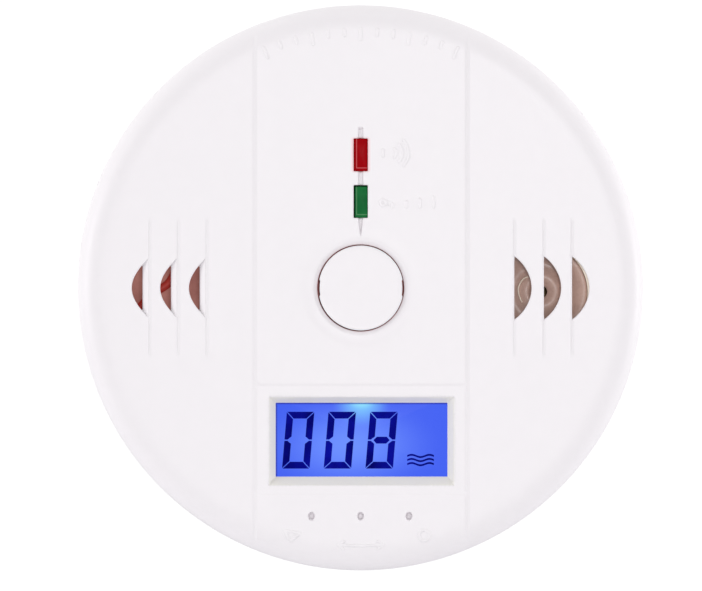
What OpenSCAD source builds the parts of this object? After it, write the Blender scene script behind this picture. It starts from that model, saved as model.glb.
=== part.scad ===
// Round wall-mounted carbon monoxide detector.
// Frame: +Z up, face towards -Y, origin at the centre of the wall plate's back face.
// Each sub-part is drawn lying on its back (x right, y up the wall, z out from the wall)
// and stand() turns it upright.

/* [Case] */
// Outer diameter of the case
case_d = 100; // [98:1:104]
// Depth from the wall to the face, which the test button passes a little
case_depth = 37.6; // [37:0.2:40]
// Wall thickness of the mouldings
wall = 2; // [1.8:0.1:2.2]
// Rounding of the face's edge
edge_r = 6; // [5:0.5:6.5]
// Height above the wall where the front cover meets the rear case
seam_z = 11.5; // [11:0.5:12.5]

/* [Wall plate] */
// Thickness of the wall plate
plate_t = 2.2; // [2:0.1:2.4]
// Height of the wall plate's rim above the wall
plate_rim_z = 7; // [6.8:0.1:7.2]
// Distance between the two screw slots of a pair, one pair level and one upright
slot_spacing = 66; // [64:1:68]
// Width of a screw slot
slot_w = 4.5; // [4:0.5:5]
// Length of a screw slot, end to end
slot_len = 9; // [8:0.5:10]
// Angle that the head turns from locked to free
twist_angle = 24; // [23:1:26]

/* [Face] */
// Distance of each vertical groove from the middle
groove_x = 18.7; // [18:0.1:20]
// Width of a vertical groove
groove_w = 0.9; // [0.6:0.1:1.2]
// Depth of a vertical groove
groove_depth = 0.35; // [0.2:0.05:0.5]
// Diameter of the test button's cap
button_d = 14.6; // [14:0.1:15]
// Gap round the test button
button_gap = 0.45; // [0.3:0.05:0.6]
// Height of the red lamp's middle above the centre
red_led_y = 23.4; // [23:0.1:24.2]
// Height of the green lamp's middle above the centre
green_led_y = 15.2; // [15:0.1:16]

/* [Display] */
// Width of the display opening at the face
window_w = 32.6; // [31:0.1:33]
// Height of the display opening at the face
window_h = 15.5; // [15:0.1:16]
// Height of the display's middle, below the centre
window_y = -26.9; // [-27.2:0.1:-26.6]
// Width of the bevel round the opening
window_bevel = 1.2; // [1:0.1:1.4]

/* [Louvres] */
// Distance of the innermost louvre from the middle
louvre_x = 27; // [26.5:0.1:27.5]
// Distance from one louvre to the next
louvre_pitch = 5.05; // [4.8:0.05:5.2]
// How far a louvre opening reaches sideways
louvre_w = 3.15; // [3:0.05:3.5]
// Radius of a louvre opening's arc
louvre_r = 6.9; // [6.5:0.1:7.2]

/* [Cells] */
// Diameter of an AA cell
cell_d = 14.2; // [14:0.1:14.4]
// Length of an AA cell with its button
cell_len = 50.5; // [50:0.1:50.5]

/* [Hidden] */
$fn = 96;

over = 1;                                  // how far a cutter passes a surface
bite = 0.2;                                // how far joined solids reach into each other
case_r = case_d / 2;
face_in = case_depth - wall;               // inside of the face
inner_r = case_r - wall;                   // inside of the front cover's skirt

// Wall plate and bayonet
plate_r = case_r - 1;
rim_t = 1.8;
rim_in = plate_r - rim_t;
lip_in = 43.2;
lip_z = [5, 6.5];
lug_z = [3.3, 4.8];
lug_out = rim_in - 0.4;
lug_span = 20;
lock_angles = [80, 200, 320];              // where each lug begins when locked
stop_span = 3;
stop_gap = 0.6;                            // degrees between a lug and its stop
spigot_r = [41, 42.5];
spigot_z = 3;
index_h = 0.6;                             // rib on the rim that shows where the head locks

// Rear case and battery bay
rear_z = plate_rim_z + 0.5;
rear_in = rear_z + wall;
tongue_r = [inner_r - 1.8, inner_r - 0.2];
tongue_top = seam_z + 2;
cell_r = cell_d / 2;
cell_pitch = cell_d + 0.6;
cell_z = plate_t + 1 + cell_r;
cell_ys = [-cell_pitch, 0, cell_pitch];
cell_turns = [180, 0, 180];                // which way each cell's button points
bay_wall = 1.5;
bay_x = 28.8;                              // half length inside the bay
bay_y = cell_pitch + cell_r + 0.9;         // half height inside the bay
bay_z = cell_z + cell_r + 0.4;             // inside of the bay's floor
bay_top = bay_z + bay_wall;
nub_r = 2.75;
nub_h = 1;
contact_t = 0.4;
contact_gap = 0.1;
contact_x = bay_x - contact_gap - contact_t;
contact_w = 9;
contact_z = [cell_z - 5.5, cell_z + 5.5];
nub_x = contact_x - 0.05;                  // where a cell's button ends
tail_x = nub_x - cell_len;                 // where its flat end lies
coil_wire_r = 0.3;

// Circuit board and what stands on it
board_z = bay_top + 1.7;
board_top = board_z + 1.6;
board_r = case_r - 7;
lead_hole_r = 0.55;
lead_end = board_z - 0.9;                  // trimmed leads behind the board
lead_r = 0.3;
case_screw_xy = [23.5, 28.5];
case_boss_r = 3;
case_bore_r = 1.3;
board_screw_at = [[-36, 16], [36, 16], [0, -40.2]];
board_boss_r = 2.7;
board_bore_r = 1.1;
board_bore_z = board_top + 9;

// Test button and switch
button_r = button_d / 2;
button_hole_r = button_r + button_gap;
button_top = case_depth + 0.4;
button_skin = 2;
button_wall = 1.2;
button_in_r = button_r - button_wall;
flange_r = button_hole_r + 0.85;
flange_z = [face_in - 1.2, face_in - 0.2];
halo_r = 10.2;
halo_depth = 0.5;
travel = 0.8;
plunger_travel = 0.3;
switch_w = 6.2;
switch_z = [board_top, board_top + 3.5];
switch_cover_t = 0.3;
plunger_r = 1.75;
plunger_foot_r = 2.3;
plunger_tip = board_top + 8.9;
post_tip = plunger_tip + travel - plunger_travel;
post_r = 2.2;
spring_r = 5.2;
spring_wire_r = 0.25;

// Lamps
lamp_w = 2.15;
lamp_h = 5.5;
lamp_top = case_depth - 0.4;
lamp_foot = board_top + 6.9;
lamp_hole_w = 2.4;
lamp_hole_h = 5.74;
lamp_pin = 1.27;
channel_w = 1.1;
channel_y = [9.1, 28.4];
channel_depth = 0.6;

// Display stack, from the front glass back to the board
glass_w = 36;
glass_h = 18;
glass_t = 1.1;
ledge = 2.2;                               // bare contact edge of the rear glass
front_glass_z = face_in - 0.4 - glass_t;
rear_glass_z = front_glass_z - glass_t;
diffuser_z = rear_glass_z - 0.3;
guide_z = diffuser_z - 3;
guide_h = 14.6;
holder_wall = 1;
holder_gap = 0.2;
holder_z = guide_z - 1;
connector_y = [0.5, 2.1];                  // from the rear glass's lower edge
connector_w = 30;

// Sounder and sensor
sounder_at = [31.7, -0.7];
sounder_r = 8.2;
sounder_hole_r = 1.2;
sounder_top = face_in - 1;
sounder_wall = 1;
sensor_at = [-34, 0];
sensor_r = 9;
sensor_cap_r = 9.4;
sensor_z = [board_top + 1.2, face_in - 6.5, face_in - 4.5];     // base, can and cap end here
terminal_x = [-31.2, -27.2];
terminal_y = [-6, 2.1];

// Chip, passives
chip_at = [-15.5, 3];
chip_size = [7.5, 18];
leg_count = 10;
leg_pitch = 1.27 * 1.3;
cap_at = [[-24, -12.2], [14, 33], [21, 20]];
cap_r = [2.2, 3.2, 2.5];
cap_h = [6, 9, 7];
resistor_at = [[-8, 31], [-12, 31], [-16, 31], [10, 12], [13, 14], [16, 12]];
resistor_r = 1.1;
resistor_len = 6;
coil_at = [18, -10];

// Battery leads: points of the centre line, x right, y up, z out
lead_wire_r = 0.75;
red_route = [
    [-30.2, -14.8, 15.2], [-33.5, -14.8, 15.2], [-38, -13.5, 15.6], [-43, -9, 16.4],
    [-44.8, -9, 19], [-44.8, -9, 26], [-44.6, -8, 31.2], [-42.6, -6.6, 32.6],
    [-39.4, -4, 32.5], [-37.4, -1.6, 32.5], [-35.2, -0.9, 32.5], [-33.4, 1.4, 32.5],
    [-31.6, 5.2, 32.5], [-28.6, 7.6, 32.4], [-24.2, 7.6, 30], [-23.7, 6.8, 22.7]
];
black_route = [
    [30.2, 14.8, 15.2], [33.5, 14.8, 15.2], [38, 14, 15.6], [42.6, 11.6, 16.4],
    [44.6, 10, 19], [44.2, 11.6, 23.5], [42, 14.5, 26.4], [38, 19.6, 27],
    [33.5, 22.6, 26.4], [31, 23.4, 25], [30.2, 23.6, 22.7]
];
board_notches = [[-44.8, -9], [44.6, 10.6]];
notch_r = 3.4;

// ---------------------------------------------------------------- helpers

module stand() rotate([90, 0, 0]) children();

module at(p, z = 0) translate([p[0], p[1], z]) children();

module disc(r, z0, z1) translate([0, 0, z0]) cylinder(r = r, h = z1 - z0);

module ring(r_in, r_out, z0, z1) difference() {
    disc(r_out, z0, z1);
    disc(r_in, z0 - over, z1 + over);
}

module block(w, h, z0, z1) translate([-w / 2, -h / 2, z0]) cube([w, h, z1 - z0]);

module span(x, y, z) translate([x[0], y[0], z[0]]) cube([x[1] - x[0], y[1] - y[0], z[1] - z[0]]);

module sector(r_in, r_out, z, from, angle) rotate([0, 0, from]) rotate_extrude(angle = angle)
    translate([r_in, z[0]]) square([r_out - r_in, z[1] - z[0]]);

module four_corners(xy) for (sx = [-1, 1], sy = [-1, 1]) translate([sx * xy[0], sy * xy[1]])
    children();

// Solid of the case's outside, shrunk by inset all round, from a height up to the face
module case_body(inset, from_z) rotate_extrude() {
    translate([0, from_z]) square([case_r - edge_r, case_depth - inset - from_z]);
    translate([0, from_z]) square([case_r - inset, case_depth - edge_r - from_z]);
    intersection() {
        translate([case_r - edge_r, case_depth - edge_r]) circle(r = edge_r - inset);
        square([case_r, case_depth]);
    }
}

// Points of a route, rounded by cutting each corner a few times
function cut_corners(p) = [
    p[0],
    for (i = [0 : len(p) - 2]) each [0.75 * p[i] + 0.25 * p[i + 1], 0.25 * p[i] + 0.75 * p[i + 1]],
    p[len(p) - 1]
];
function unit(v) = v / norm(v);
function heading(p, i) = unit(p[min(i + 1, len(p) - 1)] - p[max(i - 1, 0)]);

// Round tube along points; the reference direction is never along the route
module tube(p, r, sides, ref) {
    rings = [
        for (i = [0 : len(p) - 1])
        let (u = unit(cross(heading(p, i), ref)), v = cross(heading(p, i), u))
        for (k = [0 : sides - 1]) p[i] + r * (cos(360 * k / sides) * u + sin(360 * k / sides) * v)
    ];
    last = len(p) - 1;
    polyhedron(rings, [
        [for (k = [0 : sides - 1]) k],
        for (i = [0 : last - 1], k = [0 : sides - 1])
            let (a = i * sides + k, b = i * sides + (k + 1) % sides)
            each [[a, a + sides, b + sides], [a, b + sides, b]],
        [for (k = [sides - 1 : -1 : 0]) last * sides + k]
    ]);
}

// Points of a coil spring along z; its radius goes from r0 to r1
function coil_points(r0, r1, z0, z1, turns, steps) = [
    for (i = [0 : turns * steps])
    let (t = i / (turns * steps), a = 360 * i / steps, r = r0 + (r1 - r0) * t)
    [r * cos(a), r * sin(a), z0 + (z1 - z0) * t]
];

module pan_screw(head_r, head_h, shank_r, length) {
    difference() {
        disc(head_r, -head_h, 0);
        translate([0, 0, -head_h - over]) for (a = [0, 90]) rotate([0, 0, a])
            block(head_r, 0.7, 0, over + head_h / 2);
    }
    disc(shank_r, -bite, length);
}

// ---------------------------------------------------------------- wall plate

module mounting_plate() color("whitesmoke") stand() difference() {
    union() {
        disc(plate_r, 0, plate_t);
        ring(rim_in, plate_r, plate_t - bite, plate_rim_z);
        sector(plate_r - bite, plate_r + index_h, [1, plate_rim_z - 0.5], 269, 2);
        for (a = lock_angles) {
            sector(lip_in, rim_in + bite, lip_z, a - stop_gap - stop_span, lug_span + stop_span + 1);
            sector(lip_in + 1, rim_in + bite, [plate_t - bite, lip_z[0] + bite],
                a - stop_gap - stop_span, stop_span);
            sector(lip_in + 1, rim_in + bite, [plate_t - bite, lip_z[0]],
                a + twist_angle + lug_span + stop_gap, stop_span);
        }
    }
    for (a = [0 : 90 : 270]) rotate([0, 0, a]) translate([slot_spacing / 2, 0]) {
        block(slot_len - slot_w, slot_w, -over, plate_t + over);
        for (e = [-1, 1]) translate([e * (slot_len - slot_w) / 2, 0])
            disc(slot_w / 2, -over, plate_t + over);
    }
}

// ---------------------------------------------------------------- case

module rear_case() color("whitesmoke") stand() difference() {
    union() {
        rotate_extrude() polygon([
            [0, rear_z], [case_r, rear_z], [case_r, seam_z - 0.1], [tongue_r[1], seam_z - 0.1],
            [tongue_r[1], tongue_top], [tongue_r[0], tongue_top], [tongue_r[0], rear_in], [0, rear_in]
        ]);
        ring(spigot_r[0], spigot_r[1], spigot_z, rear_z + bite);
        for (a = lock_angles) sector(spigot_r[1] - bite, lug_out, lug_z, a, lug_span);
        block(2 * (bay_x + bay_wall), 2 * (bay_y + bay_wall), rear_z + bite, bay_top);
    }
    difference() {
        block(2 * bay_x, 2 * bay_y, rear_z - over, bay_z);
        for (s = [-1, 1]) translate([0, s * cell_pitch / 2])
            block(2 * bay_x - 8, 1, cell_z + 4, bay_z + over);
    }
    four_corners(case_screw_xy) disc(case_bore_r + 0.3, rear_z - over, rear_in + over);
    for (p = [red_route[0], black_route[0]]) translate(p) rotate([0, 90, 0])
        cylinder(r = lead_wire_r + 0.25, h = 6, center = true);
}

// Where a vertical groove is cut to an even depth below the face and its rounding
module groove_cutter() difference() {
    for (s = [-1, 1]) translate([s * groove_x, 0])
        block(groove_w, 2 * (case_r - 5.4), case_depth - 2, case_depth + over);
    case_body(groove_depth, seam_z);
}

module window_cutter() translate([0, window_y]) {
    hull() {
        block(window_w, window_h, case_depth, case_depth + over);
        block(window_w - 2 * window_bevel, window_h - 2 * window_bevel, face_in + 0.4, case_depth);
    }
    block(window_w - 2 * window_bevel, window_h - 2 * window_bevel, face_in - over, case_depth);
}

// Openings of one side's louvres; ledge moves their straight edge away from the ridge
module louvre_cutter(inner_ledge) for (i = [0 : 2]) translate([louvre_x + i * louvre_pitch, 0]) {
    intersection() {
        translate([louvre_w - louvre_r, 0]) disc(louvre_r, face_in - over, case_depth + over);
        translate([inner_ledge, -louvre_r]) cube([louvre_w, 2 * louvre_r, case_depth + over]);
    }
    block(0.35, 24, case_depth - 0.3, case_depth + over);
}

module front_cover() color("white") stand() difference() {
    union() {
        difference() {
            case_body(0, seam_z);
            case_body(wall, seam_z - over);
        }
        four_corners(case_screw_xy) disc(case_boss_r, rear_in + 0.1, face_in + bite);
        for (p = board_screw_at) at(p) disc(board_boss_r, board_top, face_in + bite);
        at(sounder_at) ring(sounder_r + 0.2, sounder_r + 1.4, sounder_top - 3, face_in + bite);
    }
    groove_cutter();
    disc(button_hole_r, face_in - over, case_depth + over);
    translate([0, 0, case_depth - halo_depth])
        cylinder(r1 = button_hole_r, r2 = halo_r, h = halo_depth + 0.01);
    span([-channel_w / 2, channel_w / 2], channel_y, [case_depth - channel_depth, case_depth + over]);
    for (y = [red_led_y, green_led_y]) translate([0, y])
        block(lamp_hole_w, lamp_hole_h, face_in - over, case_depth + over);
    window_cutter();
    louvre_cutter(0.1);
    mirror([1, 0, 0]) louvre_cutter(1.25);
    for (x = [-8.6, 0, 8.6]) translate([x, -40.2]) disc(0.6, case_depth - 1.2, case_depth + over);
    four_corners(case_screw_xy) disc(case_bore_r, rear_in - over, board_bore_z);
    for (p = board_screw_at) at(p) disc(board_bore_r, board_top - over, board_bore_z);
}

// ---------------------------------------------------------------- test button and switch

module test_button() color("white") stand() {
    difference() {
        rotate_extrude() {
            translate([0, button_top - button_skin]) square([button_r - 0.6, button_skin]);
            translate([0, button_top - button_skin]) square([button_r, button_skin - 0.6]);
            intersection() {
                translate([button_r - 0.6, button_top - 0.6]) circle(r = 0.6);
                square([case_r, case_depth]);
            }
            translate([button_in_r, flange_z[0]])
                square([button_wall, button_top - button_skin + bite - flange_z[0]]);
            translate([button_in_r, flange_z[0]])
                square([flange_r - button_in_r, flange_z[1] - flange_z[0]]);
        }
        for (s = [-1, 1]) translate([s * (button_r + 0.8), 0])
            block(2, 2.8, face_in, case_depth + over);
    }
    disc(post_r, post_tip, button_top - button_skin + bite);
}

module button_spring() color("silver") stand() {
    lift = spring_wire_r + 0.03;
    tube(coil_points(spring_r, spring_r, board_top + lift, button_top - button_skin - lift, 6, 14),
        spring_wire_r, 6, [0, 0, 1]);
}

module switch_body() color("dimgray") stand() difference() {
    block(switch_w, switch_w, switch_z[0], switch_z[1]);
    disc(plunger_foot_r + 0.15, switch_z[1] - 1.2, switch_z[1] + over);
}

module switch_cover() color("silver") stand() difference() {
    block(switch_w, switch_w, switch_z[1], switch_z[1] + switch_cover_t);
    disc(plunger_r + 0.15, switch_z[1] - over, switch_z[1] + over);
}

module switch_plunger() color("black") stand() {
    disc(plunger_foot_r, switch_z[1] - 0.6, switch_z[1] - 0.1);
    disc(plunger_r, switch_z[1] - 0.3, plunger_tip);
}

module switch_pins() color("silver") stand()
    four_corners([switch_w / 2 - 0.4, 2.25]) disc(lead_r, lead_end, board_top);

// ---------------------------------------------------------------- circuit board

module main_board() color("peru") stand() difference() {
    disc(board_r, board_z, board_top);
    four_corners(case_screw_xy) disc(case_boss_r + 0.3, board_z - over, board_top + over);
    for (p = board_screw_at) at(p) disc(board_bore_r + 0.4, board_z - over, board_top + over);
    for (p = board_notches) at(p) disc(notch_r, board_z - over, board_top + over);
    four_corners([switch_w / 2 - 0.4, 2.25]) disc(lead_hole_r, board_z - over, board_top + over);
    for (y = [red_led_y, green_led_y], s = [-1, 1]) translate([0, y + s * lamp_pin])
        disc(lead_hole_r, board_z - over, board_top + over);
    at(sounder_at) for (s = [-1, 1]) translate([0, s * 5])
        disc(lead_hole_r, board_z - over, board_top + over);
    at(sensor_at) for (s = [-1, 1]) translate([s * 3, 0])
        disc(lead_hole_r, board_z - over, board_top + over);
}

module led(y) translate([0, y]) {
    block(lamp_w, lamp_h, lamp_foot, lamp_top);
    block(lamp_w + 0.8, lamp_h + 0.8, lamp_foot, lamp_foot + 1);
}

module red_led() color("firebrick") stand() led(red_led_y);

module green_led() color("seagreen") stand() led(green_led_y);

module led_leads() color("silver") stand()
    for (y = [red_led_y, green_led_y], s = [-1, 1]) translate([0, y + s * lamp_pin])
        disc(lead_r, lead_end, lamp_foot);

// ---------------------------------------------------------------- display

glass_y0 = window_y - glass_h / 2;

module lcd_front_glass() color("lightsteelblue", 0.5) stand()
    span([-glass_w / 2, glass_w / 2], [glass_y0 + ledge, glass_y0 + glass_h],
        [front_glass_z, front_glass_z + glass_t]);

module lcd_rear_glass() color("lightsteelblue", 0.5) stand()
    span([-glass_w / 2, glass_w / 2], [glass_y0, glass_y0 + glass_h],
        [rear_glass_z, rear_glass_z + glass_t]);

guide_y = [glass_y0 + glass_h - guide_h, glass_y0 + glass_h];

module lcd_diffuser() color("white") stand()
    span([-glass_w / 2, glass_w / 2], guide_y, [diffuser_z, rear_glass_z]);

lamp_pocket = 1.3;

module light_guide() color("royalblue", 0.8) stand() difference() {
    span([-glass_w / 2, glass_w / 2], guide_y, [guide_z, diffuser_z]);
    span([-2.2, 2.2], [guide_y[1] - lamp_pocket, guide_y[1] + over],
        [guide_z - over, diffuser_z + over]);
}

module backlight_led() color("lightyellow") stand()
    span([-1.6, 1.6], [guide_y[1] - lamp_pocket + 0.2, guide_y[1] - 0.1],
        [guide_z + 0.1, guide_z + 2.6]);

module lcd_holder() color("whitesmoke") stand() translate([0, window_y]) {
    inner = [glass_w + 2 * holder_gap, glass_h + 2 * holder_gap];
    outer = inner + 2 * [holder_wall, holder_wall];
    difference() {
        block(outer[0], outer[1], holder_z, front_glass_z + glass_t - 0.3);
        block(inner[0], inner[1], guide_z, front_glass_z + glass_t + over);
        translate([0, -glass_h / 2]) span([-connector_w / 2 - 0.2, connector_w / 2 + 0.2],
            connector_y + [-0.2, 0.2], [holder_z - over, guide_z + over]);
    }
    four_corners([outer[0] / 2 - 1.2, outer[1] / 2 - 1.2])
        block(2.4, 2.4, board_top, holder_z + bite);
}

module lcd_connector() color("lightpink") stand() translate([0, glass_y0])
    span([-connector_w / 2, connector_w / 2], connector_y, [board_top, rear_glass_z]);

// ---------------------------------------------------------------- sounder and sensor

module sounder_case() color("rosybrown") stand() at(sounder_at) difference() {
    disc(sounder_r, board_top, sounder_top - 1.5);
    disc(sounder_r - sounder_wall, board_top + 2, sounder_top);
    for (s = [-1, 1]) translate([0, s * 5]) disc(lead_r + 0.1, board_top - over, board_top + 3);
}

module piezo_disc() color("goldenrod") stand() at(sounder_at)
    disc(sounder_r - sounder_wall - 0.2, sounder_top - 5, sounder_top - 4.6);

module sounder_lid() color("rosybrown") stand() at(sounder_at) difference() {
    union() {
        disc(sounder_r, sounder_top - 1.5, sounder_top - 0.3);
        ring(6.3, 6.9, sounder_top - 0.4, sounder_top);
        ring(3.2, 3.8, sounder_top - 0.4, sounder_top);
    }
    disc(sounder_hole_r, sounder_top - 3, sounder_top + over);
}

module sounder_pins() color("silver") stand() at(sounder_at) for (s = [-1, 1])
    translate([0, s * 5]) disc(lead_r, lead_end, board_top + 2.5);

module co_sensor_base() color("black") stand() at(sensor_at)
    disc(sensor_r, board_top, sensor_z[0]);

module co_sensor_can() color("silver") stand() at(sensor_at)
    disc(sensor_r - 0.2, sensor_z[0], sensor_z[1]);

// Brown cap with a ring of breathing holes and a raised terminal block
module co_sensor_cap() color("rosybrown") stand() {
    at(sensor_at) difference() {
        disc(sensor_cap_r, sensor_z[1], sensor_z[2]);
        for (a = [0 : 60 : 300]) rotate([0, 0, a]) translate([0, 7.6])
            disc(0.5, sensor_z[1] - over, sensor_z[2] + over);
    }
    span(terminal_x, terminal_y, [sensor_z[2] - bite, sensor_z[2] + 0.5]);
}

module co_sensor_pins() color("silver") stand() at(sensor_at) for (s = [-1, 1])
    translate([s * 3, 0]) disc(lead_r, lead_end, board_top);

// ---------------------------------------------------------------- chip and passives

module controller_chip() color("black") stand() at(chip_at) difference() {
    block(chip_size[0], chip_size[1], board_top + 0.3, board_top + 2.6);
    translate([0, chip_size[1] / 2]) disc(0.8, board_top + 2.2, board_top + 2.6 + over);
}

module controller_legs() color("silver") stand() at(chip_at)
    for (s = [-1, 1], i = [0 : leg_count - 1])
        translate([s * (chip_size[0] / 2 + 0.6), (i - (leg_count - 1) / 2) * leg_pitch])
            block(1.2, 0.5, board_top, board_top + 1.2);

module capacitors() color("darkslateblue") stand() for (i = [0 : len(cap_at) - 1]) at(cap_at[i])
    difference() {
        disc(cap_r[i], board_top, board_top + cap_h[i]);
        ring(cap_r[i] - 0.25, cap_r[i] + over, board_top + 1, board_top + 1.6);
    }

module resistors() color("burlywood") stand() for (p = resistor_at)
    at(p, board_top + resistor_r + 0.05) rotate([90, 0, 0]) {
        cylinder(r = resistor_r * 0.85, h = resistor_len, center = true);
        for (s = [-1, 1]) translate([0, 0, s * (resistor_len / 2 - 0.8)])
            cylinder(r = resistor_r, h = 1.6, center = true);
    }

module coil() color("darkgoldenrod") stand() at(coil_at) {
    disc(4, board_top, board_top + 1);
    disc(2.6, board_top + 1 - bite, board_top + 6 + bite);
    disc(4, board_top + 6, board_top + 7);
}

// ---------------------------------------------------------------- cells and contacts

// One cell lying along x with its button towards +x, turned end for end if need be
module cell(i) color("darkslategray") stand() translate([0, cell_ys[i], cell_z])
    rotate([0, 0, cell_turns[i]]) translate([tail_x, 0, 0]) rotate([0, 90, 0]) {
        cylinder(r = cell_r, h = cell_len - nub_h);
        cylinder(r = nub_r, h = cell_len);
    }

module battery_bottom() cell(0);

module battery_middle() cell(1);

module battery_top() cell(2);

module cell_springs() color("silver") stand() for (i = [0 : 2])
    translate([0, cell_ys[i], cell_z]) rotate([0, 0, cell_turns[i]])
        translate([-contact_x, 0, 0]) rotate([0, 90, 0])
            tube(coil_points(4.2, 2.4, coil_wire_r + 0.03, contact_x + tail_x - coil_wire_r - 0.03,
                3, 12), coil_wire_r, 6, [0, 0, 1]);

// Flat contact behind one or two cells' ends; side is +1 at the right and -1 at the left
module contact(side, y0, y1) color("silver") stand()
    span(side > 0 ? [contact_x, contact_x + contact_t] : [-contact_x - contact_t, -contact_x],
        [y0 - contact_w / 2, y1 + contact_w / 2], contact_z);

module positive_contact() contact(-1, cell_ys[0], cell_ys[0]);

module right_bridge() contact(1, cell_ys[0], cell_ys[1]);

module left_bridge() contact(-1, cell_ys[1], cell_ys[2]);

module negative_contact() contact(1, cell_ys[2], cell_ys[2]);

module lead(route) stand() tube(cut_corners(cut_corners(route)), lead_wire_r, 8, [0.25, 1, 0.12]);

module red_lead() color("darkred") lead(red_route);

module black_lead() color("black") lead(black_route);

// ---------------------------------------------------------------- screws

module case_screws() color("silver") stand() four_corners(case_screw_xy)
    translate([0, 0, rear_z]) pan_screw(2.7, 1.7, case_bore_r - 0.05, 14);

module board_screws() color("silver") stand() for (p = board_screw_at)
    at(p, board_z) pan_screw(2.2, 1.2, board_bore_r - 0.05, 7);

mounting_plate();
rear_case();
front_cover();
test_button();
button_spring();
switch_body();
switch_cover();
switch_plunger();
switch_pins();
main_board();
red_led();
green_led();
led_leads();
lcd_front_glass();
lcd_rear_glass();
lcd_diffuser();
light_guide();
lcd_holder();
lcd_connector();
backlight_led();
sounder_case();
sounder_lid();
piezo_disc();
sounder_pins();
co_sensor_can();
co_sensor_base();
co_sensor_cap();
co_sensor_pins();
controller_chip();
controller_legs();
capacitors();
resistors();
coil();
battery_bottom();
battery_middle();
battery_top();
cell_springs();
positive_contact();
negative_contact();
right_bridge();
left_bridge();
red_lead();
black_lead();
case_screws();
board_screws();
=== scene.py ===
"""Round carbon monoxide detector: finished surfaces and materials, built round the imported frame.

Lengths are in millimetres on the face's own axes: right across the face, up the wall, and out from
the wall. metres() turns them into the frame's metres, with up along +Z and out along -Y.
"""
import logging
import math
from collections.abc import Sequence
from dataclasses import dataclass, field
from enum import Enum

import bpy
import numpy as np
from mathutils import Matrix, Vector
from mathutils.geometry import delaunay_2d_cdt


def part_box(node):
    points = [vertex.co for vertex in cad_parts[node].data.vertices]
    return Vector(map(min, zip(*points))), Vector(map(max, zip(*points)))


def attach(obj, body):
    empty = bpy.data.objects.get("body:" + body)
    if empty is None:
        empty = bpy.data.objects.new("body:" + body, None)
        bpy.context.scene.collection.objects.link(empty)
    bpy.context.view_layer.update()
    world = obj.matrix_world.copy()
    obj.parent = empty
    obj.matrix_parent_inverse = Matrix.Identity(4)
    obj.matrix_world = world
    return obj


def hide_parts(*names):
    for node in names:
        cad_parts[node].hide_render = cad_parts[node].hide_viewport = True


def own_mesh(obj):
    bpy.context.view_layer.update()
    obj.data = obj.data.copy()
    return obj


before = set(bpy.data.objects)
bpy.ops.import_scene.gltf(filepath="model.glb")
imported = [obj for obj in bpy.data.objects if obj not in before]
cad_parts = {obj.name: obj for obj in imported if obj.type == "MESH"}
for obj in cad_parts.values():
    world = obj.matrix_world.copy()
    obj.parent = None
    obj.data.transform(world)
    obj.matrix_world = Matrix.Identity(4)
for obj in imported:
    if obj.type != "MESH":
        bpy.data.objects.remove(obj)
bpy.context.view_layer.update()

log = logging.getLogger("detector")

TAU = 2 * math.pi
MM = 0.001

# Steps of a dish's section over its nearly flat middle, its edge and its side
FLAT_STEPS, BEND_STEPS, SIDE_STEPS = 40, 59, 29


class Body(Enum):
    """The bodies that the pieces ride on."""

    WALL_PLATE = "wall_plate"
    HEAD = "head"
    BUTTON = "button"


class Grain(Enum):
    """What a finish shows from close up."""

    MOULDED = "moulded"
    BRUSHED = "brushed"
    LAMINATE = "laminate"
    WOUND = "wound"
    MOTTLED = "mottled"


# ------------------------------------------------------------------ numbers and arrays


def metres(points: np.ndarray) -> np.ndarray:
    """Turns (right, up, out) in millimetres into the frame's X, Y and Z in metres."""
    return np.column_stack([points[:, 0], -points[:, 2], points[:, 1]]) * MM


def ease(value: np.ndarray | float, low: float, high: float) -> np.ndarray:
    """Rises from 0 at low to 1 at high as 3t^2 - 2t^3, with t the share of the way."""
    t = np.clip((np.asarray(value, float) - low) / (high - low), 0, 1)
    return t * t * (3 - 2 * t)


def screen_colour(red: float, green: float, blue: float) -> tuple[float, float, float, float]:
    """Turns a colour as a screen shows it, 0 to 255, into linear light with full opacity."""
    share = np.array([red, green, blue]) / 255
    linear = np.where(share <= 0.04045, share / 12.92, ((share + 0.055) / 1.055) ** 2.4)
    return (*(float(c) for c in linear), 1.0)


def circle(radius: float, count: int, centre: Sequence[float] = (0, 0)) -> np.ndarray:
    """Points of a circle, anticlockwise: centre plus radius times the cosine and sine."""
    angle = np.arange(count) * TAU / count
    return np.column_stack([np.cos(angle), np.sin(angle)]) * radius + np.asarray(centre, float)


def ring_path(radius: float, start: float, end: float, count: int) -> np.ndarray:
    """Points of an arc about the face's middle, between two angles in degrees."""
    angle = np.radians(np.linspace(start, end, count))
    return np.column_stack([np.cos(angle), np.sin(angle)]) * radius


def rounded_rectangle(width: float, height: float, corner: float, steps: int = 5,
                      centre: Sequence[float] = (0, 0)) -> np.ndarray:
    """Outline of a rectangle with round corners, anticlockwise.

    Each corner is a quarter circle about a point set in from the corner by its radius.

    Args:
        width: Size across.
        height: Size upwards.
        corner: Radius of the corners.
        steps: Points on each corner, less one.
        centre: Middle of the rectangle.

    Returns:
        An (n, 2) array of points.
    """
    turn = np.linspace(0, math.pi / 2, steps + 1)
    quarter = np.arange(4)[:, None]
    angle = turn[None, :] + quarter * math.pi / 2
    sign_x = np.array([1, -1, -1, 1])[:, None]
    sign_y = np.array([1, 1, -1, -1])[:, None]
    x = sign_x * (width / 2 - corner) + corner * np.cos(angle)
    y = sign_y * (height / 2 - corner) + corner * np.sin(angle)
    return np.column_stack([x.ravel(), y.ravel()]) + np.asarray(centre, float)


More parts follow.
